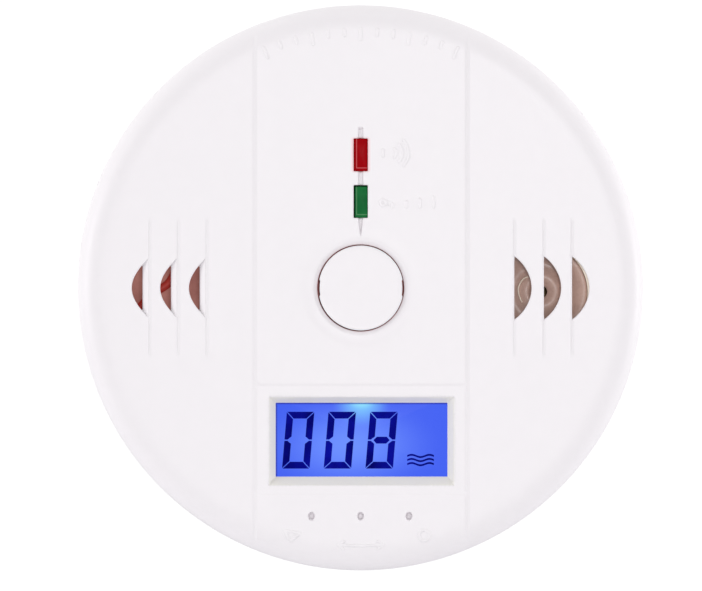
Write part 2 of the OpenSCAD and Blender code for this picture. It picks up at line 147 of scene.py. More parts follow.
def evenly(path: np.ndarray, step: float, closed: bool = True) -> np.ndarray:
    """Puts points along a path at even steps: distance along it is turned back into a place.

    Args:
        path: (n, 2) or (n, 3) corner points.
        step: About how far apart the new points are.
        closed: Whether the path returns to its first point.

    Returns:
        The new points. A closed path doesn't repeat its first point.
    """
    whole = np.vstack([path, path[:1]]) if closed else path
    along = np.concatenate([[0], np.cumsum(np.linalg.norm(np.diff(whole, axis=0), axis=1))])
    count = max(3, int(round(along[-1] / step)))
    places = np.linspace(0, along[-1], count + 1)
    if closed:
        places = places[:-1]
    return np.column_stack([np.interp(places, along, whole[:, k]) for k in range(path.shape[1])])


def with_steps(path: np.ndarray, step: float) -> np.ndarray:
    """Keeps a closed path's corners and adds points between them, no further apart than step."""
    nxt = np.roll(path, -1, axis=0)
    parts = [a + (b - a) * np.arange(n)[:, None] / n for a, b, n in zip(
        path, nxt, np.maximum(1, np.ceil(np.linalg.norm(nxt - path, axis=1) / step)).astype(int))]
    return np.vstack(parts)


def gap_to_path(points: np.ndarray, path: np.ndarray, closed: bool) -> np.ndarray:
    """Shortest distance from each point to a path: that to the nearest place on any segment.

    Args:
        points: (n, 2) points.
        path: (m, 2) corners.
        closed: Whether the last corner joins the first.

    Returns:
        The distances.
    """
    a = path if closed else path[:-1]
    b = np.roll(path, -1, axis=0) if closed else path[1:]
    run = b - a
    rel = points[:, None, :] - a[None]
    t = np.clip((rel * run).sum(2) / np.maximum((run * run).sum(1), 1e-12), 0, 1)
    return np.linalg.norm(rel - t[..., None] * run, axis=2).min(1)


def inside_path(points: np.ndarray, path: np.ndarray) -> np.ndarray:
    """Whether each point is inside a closed path: a level ray to its right crosses it oddly.

    Args:
        points: (n, 2) points.
        path: (m, 2) corners.

    Returns:
        True for each point inside.
    """
    a, b = path, np.roll(path, -1, axis=0)
    x, y = points[:, :1], points[:, 1:2]
    spans = (a[:, 1] > y) != (b[:, 1] > y)
    rise = np.where(np.abs(b[:, 1] - a[:, 1]) < 1e-12, 1e-12, b[:, 1] - a[:, 1])
    cross = a[:, 0] + (y - a[:, 1]) / rise * (b[:, 0] - a[:, 0])
    return ((spans & (x < cross)).sum(1) % 2) == 1


def signed_gap(points: np.ndarray, path: np.ndarray, reach: float) -> np.ndarray:
    """Distance outside a closed path, negative within it, and no more than reach.

    Args:
        points: (n, 2) points.
        path: Closed outline.
        reach: Distance past which the answer doesn't matter.

    Returns:
        One distance for each point.
    """
    result = np.full(len(points), reach)
    near = ((points > path.min(0) - reach) & (points < path.max(0) + reach)).all(1)
    if near.any():
        gap = gap_to_path(points[near], path, True)
        gap = np.where(inside_path(points[near], path), -gap, gap)
        result[near] = np.minimum(gap, reach)
    return result


def thinned(points: np.ndarray, cell: float) -> np.ndarray:
    """Keeps the first point in each square cell of a grid."""
    _, first = np.unique(np.round(points / cell).astype(int), axis=0, return_index=True)
    return points[np.sort(first)]


def clear_of(points: np.ndarray, others: np.ndarray, cell: float) -> np.ndarray:
    """Keeps the points whose own cell of a grid and its neighbours hold no other point.

    Args:
        points: (n, 2) points.
        others: (m, 2) points to keep away from.
        cell: Size of a cell.

    Returns:
        The points kept.
    """
    def key(grid: np.ndarray) -> np.ndarray:
        """One whole number for each cell of the grid."""
        return grid[:, 0] * 100003 + grid[:, 1]

    taken = np.unique(key(np.floor(others / cell).astype(int)))
    home = np.floor(points / cell).astype(int)
    busy = np.zeros(len(points), bool)
    for dx in (-1, 0, 1):
        for dy in (-1, 0, 1):
            busy |= np.isin(key(home + [dx, dy]), taken)
    return points[~busy]


@dataclass(frozen=True)
class Extent:
    """A CAD node's box in millimetres: across the face, up the wall, and out from it."""

    left: float
    right: float
    low: float
    high: float
    back: float
    front: float

    @classmethod
    def of(cls, node: str) -> "Extent":
        """Measures a node of the frame."""
        lo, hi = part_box(node)
        return cls(*(v / MM for v in (lo.x, hi.x, lo.z, hi.z, -hi.y, -lo.y)))

    @property
    def middle(self) -> tuple[float, float]:
        """Middle of the box, seen from the front."""
        return (self.left + self.right) / 2, (self.low + self.high) / 2

    @property
    def width(self) -> float:
        """Size across the face."""
        return self.right - self.left

    @property
    def height(self) -> float:
        """Size up the wall."""
        return self.high - self.low


# ------------------------------------------------------------------ surfaces


@dataclass
class Skin:
    """A closed surface in the making.

    Attributes:
        points: (n, 3) array of right, up, out.
        triangles: (m, 3) corner numbers, anticlockwise seen from outside.
        quads: (k, 4) corner numbers, likewise.
        leans: (n, 3) outward directions at the points, where shading needs them exact. The
            triangles then take these and the quads are shaded flat.
    """

    points: np.ndarray
    triangles: np.ndarray = field(default_factory=lambda: np.zeros((0, 3), int))
    quads: np.ndarray = field(default_factory=lambda: np.zeros((0, 4), int))
    leans: np.ndarray | None = None

    @staticmethod
    def joined(skins: Sequence["Skin"]) -> "Skin":
        """Puts several closed surfaces into one mesh, side by side."""
        starts = np.cumsum([0] + [len(s.points) for s in skins[:-1]])
        return Skin(np.vstack([s.points for s in skins]),
                    np.vstack([s.triangles + n for s, n in zip(skins, starts)]),
                    np.vstack([s.quads + n for s, n in zip(skins, starts)]))

    def flipped(self) -> "Skin":
        """Mirrors the surface front to back, and turns its faces outwards again."""
        return Skin(self.points * [1, 1, -1], self.triangles[:, ::-1], self.quads[:, ::-1])

    def mesh(self, name: str, crease: float) -> bpy.types.Mesh:
        """Makes the Blender mesh.

        Args:
            name: Name for the mesh.
            crease: Angle in degrees between two faces past which their edge is sharp.

        Returns:
            The mesh, smooth shaded.
        """
        mesh = bpy.data.meshes.new(name)
        mesh.from_pydata(metres(self.points).tolist(), [],
                         self.triangles.tolist() + self.quads.tolist())
        mesh.update()
        mesh.polygons.foreach_set("use_smooth", np.ones(len(mesh.polygons), bool))
        if self.leans is None:
            mesh.set_sharp_from_angle(angle=math.radians(crease))
        else:
            own = np.zeros(len(mesh.polygons) * 3, np.float32)
            mesh.polygons.foreach_get("normal", own)
            flat = own.reshape(-1, 3)[len(self.triangles):]
            lean = metres(self.leans) / MM
            corners = np.vstack([lean[self.triangles.ravel()], np.repeat(flat, 4, axis=0)])
            mesh.normals_split_custom_set(corners.tolist())
        return mesh


def lathe(section: Sequence[Sequence[float]], segments: int = 128, closed: bool = False,
          centre: Sequence[float] = (0, 0)) -> Skin:
    """Turns a section about a line out of the wall: radius times cosine and sine, and height.

    Args:
        section: (radius, out) points, with the solid on the left of the way they go. An open
            section starts and ends on the axis.
        segments: Steps round the axis.
        closed: Whether the section is a ring that doesn't touch the axis.
        centre: Where the axis stands.

    Returns:
        The closed surface.
    """
    part = np.asarray(section, float)
    body = part if closed else part[1:-1]
    angle = np.arange(segments) * TAU / segments
    rings = np.empty((len(body), segments, 3))
    rings[..., 0] = body[:, :1] * np.cos(angle) + centre[0]
    rings[..., 1] = body[:, :1] * np.sin(angle) + centre[1]
    rings[..., 2] = body[:, 1:]
    if closed:
        return loft(rings, capped=False, looped=True)
    poles = np.array([[centre[0], centre[1], part[0, 1]], [centre[0], centre[1], part[-1, 1]]])
    return loft(rings, poles=poles)


def loft(rings: np.ndarray, capped: bool = True, looped: bool = False,
         poles: np.ndarray | None = None) -> Skin:
    """Joins rings of points one after another, each anticlockwise seen from the last one.

    Args:
        rings: (rings, points, 3) array.
        capped: Whether the first and last rings are closed by fans.
        looped: Whether the last ring joins the first.
        poles: Middle points of the two fans, or None for the rings' own middles.

    Returns:
        The surface.
    """
    count, around = rings.shape[:2]
    here = np.arange(count if looped else count - 1)[:, None] * around
    j, k = np.arange(around), (np.arange(around) + 1) % around
    ahead = (here + around) % (count * around)
    quads = np.stack([here + j, here + k, ahead + k, ahead + j], axis=-1).reshape(-1, 4)
    points = rings.reshape(-1, 3)
    if not capped:
        return Skin(points, quads=quads)
    ends = poles if poles is not None else np.array([rings[0].mean(0), rings[-1].mean(0)])
    first, last = len(points), len(points) + 1
    top = (count - 1) * around
    fans = np.vstack([np.column_stack([np.full(around, first), k, j]),
                      np.column_stack([np.full(around, last), top + j, top + k])])
    return Skin(np.vstack([points, ends]), fans, quads)


def tube(path: np.ndarray, radius: float, sides: int, across: Sequence[float]) -> Skin:
    """A round wire along a path: each point plus radius times a circle square to the path.

    Args:
        path: (n, 3) points of the middle line.
        radius: Radius of the wire.
        sides: Steps round it.
        across: A direction that the path never runs along.

    Returns:
        The closed surface.
    """
    ahead = np.gradient(path, axis=0)
    ahead /= np.linalg.norm(ahead, axis=1, keepdims=True)
    first = np.cross(ahead, np.asarray(across, float))
    first /= np.linalg.norm(first, axis=1, keepdims=True)
    second = np.cross(ahead, first)
    angle = (np.arange(sides) * TAU / sides)[None, :, None]
    swing = np.cos(angle) * first[:, None] + np.sin(angle) * second[:, None]
    return loft(path[:, None] + radius * swing)


def block(width: float, height: float, back: float, front: float, corner: float = 0.3,
          edge: float = 0.15, centre: Sequence[float] = (0, 0)) -> Skin:
    """A slab with round corners and rounded edges: round rectangles stacked out from the wall.

    Args:
        width: Size across.
        height: Size upwards.
        back: Height of its back above the wall.
        front: Height of its front.
        corner: Radius of the corners seen from the front.
        edge: Radius of the edges at the back and front.
        centre: Its middle, seen from the front.

    Returns:
        The closed surface.
    """
    turn = np.linspace(0, math.pi / 2, 4)
    inset = np.concatenate([edge * (1 - np.sin(turn)), edge * (1 - np.cos(turn))])
    rise = np.concatenate([back + edge * (1 - np.cos(turn)), front - edge * (1 - np.sin(turn))])
    rings = [np.column_stack([rounded_rectangle(width - 2 * i, height - 2 * i,
                                                max(corner - i, 0.02), centre=centre),
                              np.full(24, z)]) for i, z in zip(inset, rise)]
    return loft(np.array(rings))


def sector(inner: float, outer: float, back: float, front: float, start: float,
           span: float) -> Skin:
    """Part of a flat ring: a rectangle of radius and height carried round an arc.

    Args:
        inner: Inner radius.
        outer: Outer radius.
        back: Height of its back above the wall.
        front: Height of its front.
        start: Angle where it begins, in degrees.
        span: Degrees that it covers.

    Returns:
        The closed surface.
    """
    angle = np.radians(np.linspace(start, start + span, max(4, int(span / 1.5))))
    corners = np.array([[inner, back], [inner, front], [outer, front], [outer, back]])
    rings = np.stack([np.cos(angle)[:, None] * corners[:, 0],
                      np.sin(angle)[:, None] * corners[:, 0],
                      np.broadcast_to(corners[:, 1], (len(angle), 4))], axis=-1)
    return loft(rings)


def prism(outline: np.ndarray, back: float, front: float) -> Skin:
    """A flat shape given a thickness: its outline at the back and at the front, with fans."""
    rings = np.stack([np.column_stack([outline, np.full(len(outline), z)])
                      for z in (back, front)])
    return loft(rings)


@dataclass(frozen=True)
class Section:
    """Section of a round dish, from its middle out and over its edge.

    Attributes:
        radius: Radius at each step along the section.
        out: Height above the wall at each step.
    """

    radius: np.ndarray
    out: np.ndarray

    @classmethod
    def dished(cls, radius: float, front: float, rim: float, bend: float, crown: float = 0,
               flare: float = 0) -> "Section":
        """A nearly flat middle, a rounded edge and a side down to the rim. The sine of the edge's
        slope is the square of the way across it, so the edge begins without a line.

        Args:
            radius: Outer radius at the rim.
            front: Height of the middle.
            rim: Height of the rim, below the middle.
            bend: Width of the edge.
            crown: How far the flat part has dropped where the bend begins.
            flare: How much further out the rim is than the foot of the bend.

        Returns:
            The section.
        """
        flat = np.linspace(0, radius - flare - bend, FLAT_STEPS)
        turn = np.linspace(0, math.pi / 2, BEND_STEPS + 1)
        rate = np.sin(turn) ** 2 / np.sqrt(1 + np.sin(turn) ** 2)
        fall = bend * np.cumsum((rate[1:] + rate[:-1]) / 2 * np.diff(turn))
        fall += 2 * crown / flat[-1] * bend * np.sin(turn[1:])
        top = front - crown - fall[-1]
        side = np.linspace(top, rim, SIDE_STEPS + 1)[1:]
        return cls(
            np.concatenate([flat, flat[-1] + bend * np.sin(turn[1:]),
                            radius - flare * (side - rim) / (top - rim)]),
            np.concatenate([front - crown * (flat / flat[-1]) ** 2, front - crown - fall, side]))

    @property
    def along(self) -> np.ndarray:
        """Length along the section at each step."""
        steps = np.hypot(np.diff(self.radius), np.diff(self.out))
        return np.concatenate([[0], np.cumsum(steps)])

    @property
    def bend(self) -> tuple[float, float]:
        """Lengths along the section where the edge begins and where it ends."""
        return self.along[FLAT_STEPS - 1], self.along[FLAT_STEPS + BEND_STEPS - 1]

    def unrolled(self, seen: np.ndarray) -> np.ndarray:
        """Moves points seen from the front to where they lie with the dish pressed flat."""
        r = np.maximum(np.hypot(seen[:, 0], seen[:, 1]), 1e-9)
        reach = int(np.argmax(self.radius)) + 1
        s = np.interp(r, self.radius[:reach], self.along[:reach])
        return seen * (s / r)[:, None]

    def rolled(self, flat: np.ndarray) -> tuple[np.ndarray, np.ndarray]:
        """Puts points of the flattened dish back on it.

        Args:
            flat: (n, 2) points whose distance from the middle is the length along the section.

        Returns:
            The places, and the directions that the surface faces there, each (n, 3).
        """
        s = np.maximum(np.hypot(flat[:, 0], flat[:, 1]), 1e-9)
        way = flat / s[:, None]
        along = self.along
        r, z = np.interp(s, along, self.radius), np.interp(s, along, self.out)
        dr = np.interp(s, along, np.gradient(self.radius, along))
        dz = np.interp(s, along, np.gradient(self.out, along))
        size = np.hypot(dr, dz)
        faces = np.column_stack([way * (-dz / size)[:, None], dr / size])
        return np.column_stack([way * r[:, None], z]), faces


class NoRelief:
    """A surface with nothing moulded on it."""

    def sink(self, seen: np.ndarray) -> np.ndarray:
        """How far the surface lies below the plain dish at each point: nowhere."""
        return np.zeros(len(seen))

    def guides(self) -> np.ndarray:
        """Points that the mesh needs to show the relief: none."""
        return np.zeros((0, 2))


@dataclass
class Dish:
    """A round shell with holes: an outer and an inner sheet, the holes' walls and the rim.

    Attributes:
        outer: Section of the outside.
        inner: Section of the inside.
        holes: Closed outlines, anticlockwise, on the flat part of both sheets.
        relief: What is moulded on the outside.
        rounds: Number of points round the rim.
        spacing: Distance between the points that fill the plain parts.
        ring_steps: Distances between rings of points over the edge, outside and inside.
        side_rings: Rings of points down the side.
        hole_gap: Least distance of the relief's points from a hole.
        cells: Sizes of the grid cells that keep points apart: the relief's own, those over the
            edge and those that fill the plain parts.
        fill_margin: Distance of the filling points from the edge.
    """

    outer: Section
    inner: Section
    holes: list[np.ndarray]
    relief: NoRelief = field(default_factory=NoRelief)
    rounds: int = 192
    spacing: float = 2.0
    ring_steps: tuple[float, float] = (0.75, 1.6)
    side_rings: int = 8
    hole_gap: float = 0.045
    cells: tuple[float, float, float] = (0.05, 0.5, 0.8)
    fill_margin: float = 0.6

    def rings(self, section: Section, step: float) -> np.ndarray:
        """Rings of points over the edge and the side, as they lie on the flattened dish."""
        start, stop = section.bend
        stations = np.concatenate([np.arange(start, stop, step),
                                   np.linspace(stop, section.along[-1], self.side_rings)[:-1]])
        return np.vstack([circle(s, self.rounds) for s in stations])

    def sheet(self, section: Section, guides: np.ndarray, step: float
              ) -> tuple[np.ndarray, np.ndarray, np.ndarray, np.ndarray]:
        """Meshes one side by joining points to their nearest neighbours (Delaunay).

        Args:
            section: The side's section.
            guides: Points that have to be in the mesh, as seen from the front.
            step: Distance between rings over the edge.

        Returns:
            Flattened points, triangles, numbers of the rim's points and of the holes' points.
        """
        relief_cell, edge_cell, fill_cell = self.cells
        rim = circle(section.along[-1], self.rounds)
        edges = self.rings(section, step)
        guide = section.unrolled(guides) if len(guides) else guides
        loops = np.vstack(self.holes)
        if len(guide):
            guide = thinned(guide, relief_cell)
        keep = np.ones(len(guide), bool)
        for hole in self.holes:
            keep &= signed_gap(guide, hole, 1.0) > self.hole_gap
        guide = guide[keep]
        edges = clear_of(edges, guide, edge_cell) if len(guide) else edges
        span = np.arange(-46, 46, self.spacing)
        x, y = np.meshgrid(span, span * math.sqrt(3) / 2 * 1.1)
        x = x + (np.arange(len(span)) % 2)[:, None] * self.spacing / 2
        fill = np.column_stack([x.ravel(), y.ravel()])
        fill = fill[np.hypot(*fill.T) < section.bend[0] - self.fill_margin]
        fill = clear_of(fill, np.vstack([guide, loops]), fill_cell)
        keep = np.ones(len(fill), bool)
        for hole in self.holes:
            keep &= ~inside_path(fill, hole)
        every = np.vstack([rim, loops, guide, edges, fill[keep]])
        starts = np.cumsum([self.rounds] + [len(h) for h in self.holes])
        fixed = [(n + i, n + (i + 1) % len(h)) for n, h in zip(starts, self.holes)
                 for i in range(len(h))]
        found, _, faces, came, _, _ = delaunay_2d_cdt(
            [Vector(p) for p in every.tolist()], fixed, [], 0, 1e-6, True)
        flat = np.array([tuple(v) for v in found])
        where = np.full(len(every), -1)
        for new, olds in enumerate(came):
            where[olds] = new
        triangles = np.array(faces)
        middle = flat[triangles].mean(1)
        keep = np.ones(len(triangles), bool)
        for hole in self.holes:
            keep &= ~inside_path(middle, hole)
        triangles = triangles[keep]
        a, b, c = (flat[triangles[:, k]] for k in range(3))
        turn = (b - a)[:, 0] * (c - a)[:, 1] - (b - a)[:, 1] * (c - a)[:, 0]
        triangles[turn < 0] = triangles[turn < 0][:, ::-1]
        return flat, triangles, where[: self.rounds], where[self.rounds: starts[-1]]

    def surface(self, flat: np.ndarray) -> np.ndarray:
        """Outside points: the plain dish, less the relief's depth along its own direction."""
        base, faces = self.outer.rolled(flat)
        return base - self.relief.sink(base[:, :2])[:, None] * faces

    def skin(self) -> Skin:
        """Builds the whole shell.

        Returns:
            The shell's surface.
        """
        flat, top, rim, loops = self.sheet(self.outer, self.relief.guides(), self.ring_steps[0])
        tiny = 0.02
        ahead = self.surface(flat + [tiny, 0]) - self.surface(flat - [tiny, 0])
        beside = self.surface(flat + [0, tiny]) - self.surface(flat - [0, tiny])
        lean = np.cross(ahead, beside)
        lean /= np.linalg.norm(lean, axis=1, keepdims=True)
        under, low, low_rim, low_loops = self.sheet(self.inner, np.zeros((0, 2)),
                                                        self.ring_steps[1])
        inside, faces = self.inner.rolled(under)
        shift = len(flat)
        walls = [np.column_stack([rim, low_rim + shift, np.roll(low_rim, -1) + shift,
                                  np.roll(rim, -1)])]
        start = 0
        for hole in self.holes:
            a = loops[start: start + len(hole)]
            b = low_loops[start: start + len(hole)] + shift
            walls.append(np.column_stack([a, np.roll(a, -1), np.roll(b, -1), b]))
            start += len(hole)
        return Skin(np.vstack([self.surface(flat), inside]),
                    np.vstack([top, low[:, ::-1] + shift]), np.vstack(walls),
                    np.vstack([lean, -faces]))


# ------------------------------------------------------------------ finishes


@dataclass(frozen=True)
class Finish:
    """A material made from node patterns on the piece's own coordinates.

    Attributes:
        name: What the maker calls it.
        colour: Main colour as a screen shows it.
        second: Colour that the pattern brings in.
        grain: The pattern.
        size: Size of the pattern in millimetres.
        relief: Depth of the pattern's bump in millimetres.
        roughness: Middle roughness.
        spread: How far the roughness varies either way.
        metallic: 1 for bare metal.
        coat: Weight of a clear coat.
        glow: Strength of the light that it gives off in its own colour.
        clear: Share of light that passes through.
        axis: Which way a brushed or wound pattern runs: 0, 1 or 2 for X, Y or Z.
        shine: Strength of the mirror-like part, 0.5 for common plastic.
    """

    name: str
    colour: tuple[float, float, float]
    second: tuple[float, float, float]
    grain: Grain = Grain.MOULDED
    size: float = 0.5
    relief: float = 0.01
    roughness: float = 0.4
    spread: float = 0.06
    metallic: float = 0.0
    coat: float = 0.0
    glow: float = 0.0
    clear: float = 0.0
    axis: int = 2
    shine: float = 0.5

    @property
    def label(self) -> str:
        """The material's own name, apart from the frame's plain materials."""
        return f"finish_{self.name}"

    def recipe(self) -> "Recipe":
        """What builds this finish."""
        return Recipe(self)

    def material(self) -> bpy.types.Material:
        """Makes the material, or returns it if it's already made."""
        return bpy.data.materials.get(self.label) or self.recipe().build()


class Nodes:
    """A node tree in the making."""

    def __init__(self, owner: bpy.types.Material | bpy.types.World) -> None:
        """Empties the owner's tree."""
        owner.use_nodes = True
        self.tree = owner.node_tree
        self.tree.nodes.clear()

    def feed(self, value: object, target: bpy.types.NodeSocket) -> None:
        """Links a socket to another, or sets it to a plain value."""
        if isinstance(value, bpy.types.NodeSocket):
            self.tree.links.new(value, target)
        else:
            target.default_value = value

    def node(self, kind: str, settings: dict | None = None, **inputs: object) -> bpy.types.Node:
        """Adds a node.

        Args:
            kind: Blender's name for the node.
            settings: Attributes of the node.
            **inputs: Values, or sockets to link, by input name with _ for each space.

        Returns:
            The node.
        """
        made = self.tree.nodes.new(kind)
        for key, value in (settings or {}).items():
            setattr(made, key, value)
        for key, value in inputs.items():
            self.feed(value, made.inputs[key.replace("_", " ")])
        return made

    def maths(self, operation: str, *values: object) -> bpy.types.NodeSocket:
        """Adds a sum, product or other operation on values or sockets."""
        made = self.node("ShaderNodeMath", {"operation": operation})
        for value, target in zip(values, made.inputs):
            self.feed(value, target)
        return made.outputs[0]

    def spread_over(self, value: bpy.types.NodeSocket, low: float, high: float, to_low: float,
                    to_high: float, soft: bool = False) -> bpy.types.NodeSocket:
        """Maps one range of values to another, clamped."""
        return self.node("ShaderNodeMapRange",
                         {"interpolation_type": "SMOOTHSTEP" if soft else "LINEAR"},
                         Value=value, From_Min=low, From_Max=high, To_Min=to_low,
                         To_Max=to_high).outputs[0]

    def mixed(self, share: bpy.types.NodeSocket, first: object, second: object
              ) -> bpy.types.NodeSocket:
        """Mixes two colours, given as tuples or sockets."""
        made = self.node("ShaderNodeMix", {"data_type": "RGBA"})
        for value, target in zip((share, first, second),
                                 (made.inputs["Factor"], made.inputs[6], made.inputs[7])):
            self.feed(value, target)
        return made.outputs[2]


class Recipe(Nodes):
    """Builds one finish's node tree."""

    def __init__(self, finish: Finish) -> None:
        """Starts an empty tree with a surface shader and an output."""
        self.finish = finish
        self.made = bpy.data.materials.new(finish.label)
        super().__init__(self.made)
        self.shader = self.node("ShaderNodeBsdfPrincipled")
        self.node("ShaderNodeOutputMaterial", Surface=self.shader.outputs[0])
        self.place = self.node("ShaderNodeTexCoord").outputs["Object"]

    def off(self, axis: int, line: float = 0.0) -> bpy.types.NodeSocket:
        """How many millimetres the place is past a line across an axis."""
        part = self.node("ShaderNodeSeparateXYZ", Vector=self.place).outputs[axis]
        return self.maths("SUBTRACT", self.maths("MULTIPLY", part, 1 / MM), line)

    def length(self, first: bpy.types.NodeSocket, second: bpy.types.NodeSocket
               ) -> bpy.types.NodeSocket:
        """Square root of the sum of two values' squares."""
        return self.maths("SQRT", self.maths("ADD", *(self.maths("MULTIPLY", value, value)
                                                      for value in (first, second))))

    def outside(self, middle: Sequence[float], half: Sequence[float]
                ) -> list[bpy.types.NodeSocket]:
        """How far the place is outside an upright rectangle, across and up."""
        return [self.maths("SUBTRACT", self.maths("ABSOLUTE", self.off(axis, line)), reach)
                for axis, line, reach in zip((0, 2), middle, half)]

    def set(self, **values: object) -> None:
        """Gives the shader's inputs plain values or sockets, by name with _ for each space."""
        for key, value in values.items():
            self.feed(value, self.shader.inputs[key.replace("_", " ")])

    def cloud(self, size: float, stretch: tuple[float, float, float] = (1, 1, 1),
              detail: float = 3.0) -> bpy.types.NodeSocket:
        """Soft noise whose lumps are about size millimetres across, drawn out by stretch."""
        scaled = self.node("ShaderNodeMapping", Vector=self.place,
                           Scale=tuple(1 / MM / size / s for s in stretch))
        return self.node("ShaderNodeTexNoise", Vector=scaled.outputs[0], Scale=1.0,
                         Detail=detail, Roughness=0.55).outputs[0]

    def bands(self, size: float, axis: int) -> bpy.types.NodeSocket:
        """Even ridges, size millimetres apart, one after another along an axis."""
        wave = self.maths("SINE", self.maths("MULTIPLY", self.off(axis), TAU / size))
        return self.spread_over(wave, -1, 1, 0, 1)

    def pattern(self) -> tuple[bpy.types.NodeSocket, bpy.types.NodeSocket]:
        """The pattern that the colour follows and the one that the bump follows.

        Returns:
            The two patterns.
        """
        f = self.finish
        if f.grain is Grain.BRUSHED:
            stretch = tuple(30.0 if k == f.axis else 1.0 for k in range(3))
            lines = self.cloud(f.size, stretch, 4.0)
            return lines, lines
        if f.grain is Grain.LAMINATE:
            fibre = self.maths("MULTIPLY", self.cloud(f.size, (9, 9, 1), 4.0),
                               self.cloud(f.size, (1, 9, 9), 4.0))
            weave = self.maths("MULTIPLY", self.bands(f.size * 1.3, 0),
                               self.bands(f.size * 1.3, 2))
            return self.maths("ADD", self.maths("MULTIPLY", fibre, 1.4),
                              self.maths("MULTIPLY", weave, 0.12)), fibre
        if f.grain is Grain.WOUND:
            turns = self.bands(f.size, f.axis)
            return turns, turns
        if f.grain is Grain.MOTTLED:
            return self.cloud(f.size * 6, detail=5.0), self.cloud(f.size, detail=4.0)
        return self.cloud(f.size * 30, detail=2.0), self.cloud(f.size, detail=2.0)

    def tint(self, colour: bpy.types.NodeSocket) -> bpy.types.NodeSocket:
        """Lets a finish colour some places its own way. The plain recipe leaves them."""
        return colour

    def build(self) -> bpy.types.Material:
        """Fills the tree in and returns the material.

        Returns:
            The material.
        """
        f = self.finish
        tone, bump = self.pattern()
        share = self.spread_over(tone, 0.3, 0.7, 0, 1)
        colour = self.tint(self.mixed(share, screen_colour(*f.colour), screen_colour(*f.second)))
        rough = self.spread_over(bump, 0.25, 0.75, f.roughness - f.spread, f.roughness + f.spread)
        self.set(Base_Color=colour, Roughness=rough, Metallic=f.metallic, Coat_Weight=f.coat,
                 Coat_Roughness=0.08, Transmission_Weight=f.clear, IOR=1.5,
                 Specular_IOR_Level=f.shine)
        if f.glow:
            self.set(Emission_Color=colour, Emission_Strength=f.glow)
        if f.relief:
            self.set(Normal=self.node("ShaderNodeBump", Strength=1.0, Distance=f.relief * MM,
                                      Height=bump).outputs[0])
        return self.made


@dataclass(frozen=True)
class CoverFinish(Finish):
    """White moulded plastic with painted light and shade on it: the lamp's glow beside the lamp,
    and shade on the slope round the display and down in the button's gap.

    Attributes:
        lamp: Middle of the alarm lamp.
        lamp_half: Half its width and height.
        painted_lamp_glow: Colour of the lamp's painted red glow on the plastic beside it.
        window: Middle and half sizes of the display's opening.
        painted_slope_shade: Painted shade colour of the slope round the display.
        gap_radius: Radius of the gap round the button.
        gap_top: Height at which the gap's colour begins.
        shade: Colour down in that gap.
    """

    lamp: tuple[float, float] = (0.0, 23.4)
    lamp_half: tuple[float, float] = (1.2, 2.6)
    painted_lamp_glow: tuple[float, float, float] = (250, 190, 192)
    window: tuple[float, float, float, float] = (0.18, -26.93, 16.28, 7.75)
    painted_slope_shade: tuple[float, float, float] = (236, 233, 224)
    gap_radius: float = 7.57
    gap_top: float = 37.4
    shade: tuple[float, float, float] = (190, 84, 80)

    def recipe(self) -> "Recipe":
        """What builds this finish."""
        return CoverRecipe(self)


class CoverRecipe(Recipe):
    """The face's plastic, with the lamp's painted glow and painted shade by the display and in the
    gap.
    """

    def tint(self, colour: bpy.types.NodeSocket) -> bpy.types.NodeSocket:
        """Mixes in the lamp's painted glow, which fades with the distance from the lamp's outline,
        the painted shade of the slope where the place is within the display's opening, and the
        painted shade down in the gap.

        Args:
            colour: Colour to mix them into.

        Returns:
            The mixed colour.
        """
        f = self.finish
        gap = self.length(*(self.maths("MAXIMUM", past, 0.0)
                            for past in self.outside(f.lamp, f.lamp_half)))
        # Within the display's opening: where the slope's painted shade goes.
        past = self.maths("MAXIMUM", *self.outside(f.window[:2], f.window[2:]))
        # Painted light and shade: the red lamp's glow, the shade on the display's slope and the
        # shade down in the gap.
        for share, tone in ((self.spread_over(gap, 0.0, 0.7, 0.75, 0.0, True), f.painted_lamp_glow),
                            (self.spread_over(past, -0.1, 0.1, 0.85, 0.0), f.painted_slope_shade),
                            (self.down_the_gap(), f.shade)):
            colour = self.mixed(share, colour, screen_colour(*tone))
        return colour

    def down_the_gap(self) -> bpy.types.NodeSocket:
        """1 low down in the ring-shaped gap round the button, by radius and by depth."""
        f = self.finish
        radius = self.length(self.off(0), self.off(2))
        off = self.maths("ABSOLUTE", self.maths("SUBTRACT", radius, f.gap_radius))
        ring = self.spread_over(off, 0.4, 0.5, 1.0, 0.0)
        low = self.spread_over(self.off(1), -f.gap_top, 0.4 - f.gap_top, 0.0, 1.0)
        return self.maths("MULTIPLY", ring, low)


@dataclass(frozen=True)
class LensFinish(Finish):
    """Clear coloured epoxy with a pale line where its front edge catches the light.

    Attributes:
        lamp: Middle of the lamp.
        inset: Distances of the two lines left of and below the middle.
        edge: Colour of the lines.
    """

    lamp: tuple[float, float] = (0.0, 23.4)
    inset: tuple[float, float] = (0.72, 2.3)
    edge: tuple[float, float, float] = (206, 96, 100)

    def recipe(self) -> "Recipe":
        """What builds this finish."""
        return LensRecipe(self)


class LensRecipe(Recipe):
    """A lamp's epoxy, lit along two of its edges."""

    def tint(self, colour: bpy.types.NodeSocket) -> bpy.types.NodeSocket:
        """Draws the pale line where the place is a set distance left of or below the lamp's
        middle: the nearer of the two distances fades the line out over a tenth of a
        millimetre.

        Args:
            colour: Colour to draw it on.

        Returns:
            The mixed colour.
        """
        f = self.finish
        x, z = (self.off(axis, line - way) for axis, line, way in zip((0, 2), f.lamp, f.inset))
        upright, level = (self.maths("MAXIMUM", self.maths("ABSOLUTE", near),
                                     self.maths("MULTIPLY", end, -1.0))
                          for near, end in ((x, z), (z, x)))
        gap = self.maths("MINIMUM", upright, level)
        return self.mixed(self.spread_over(gap, 0.02, 0.13, 0.8, 0.0, True), colour,
                          screen_colour(*f.edge))


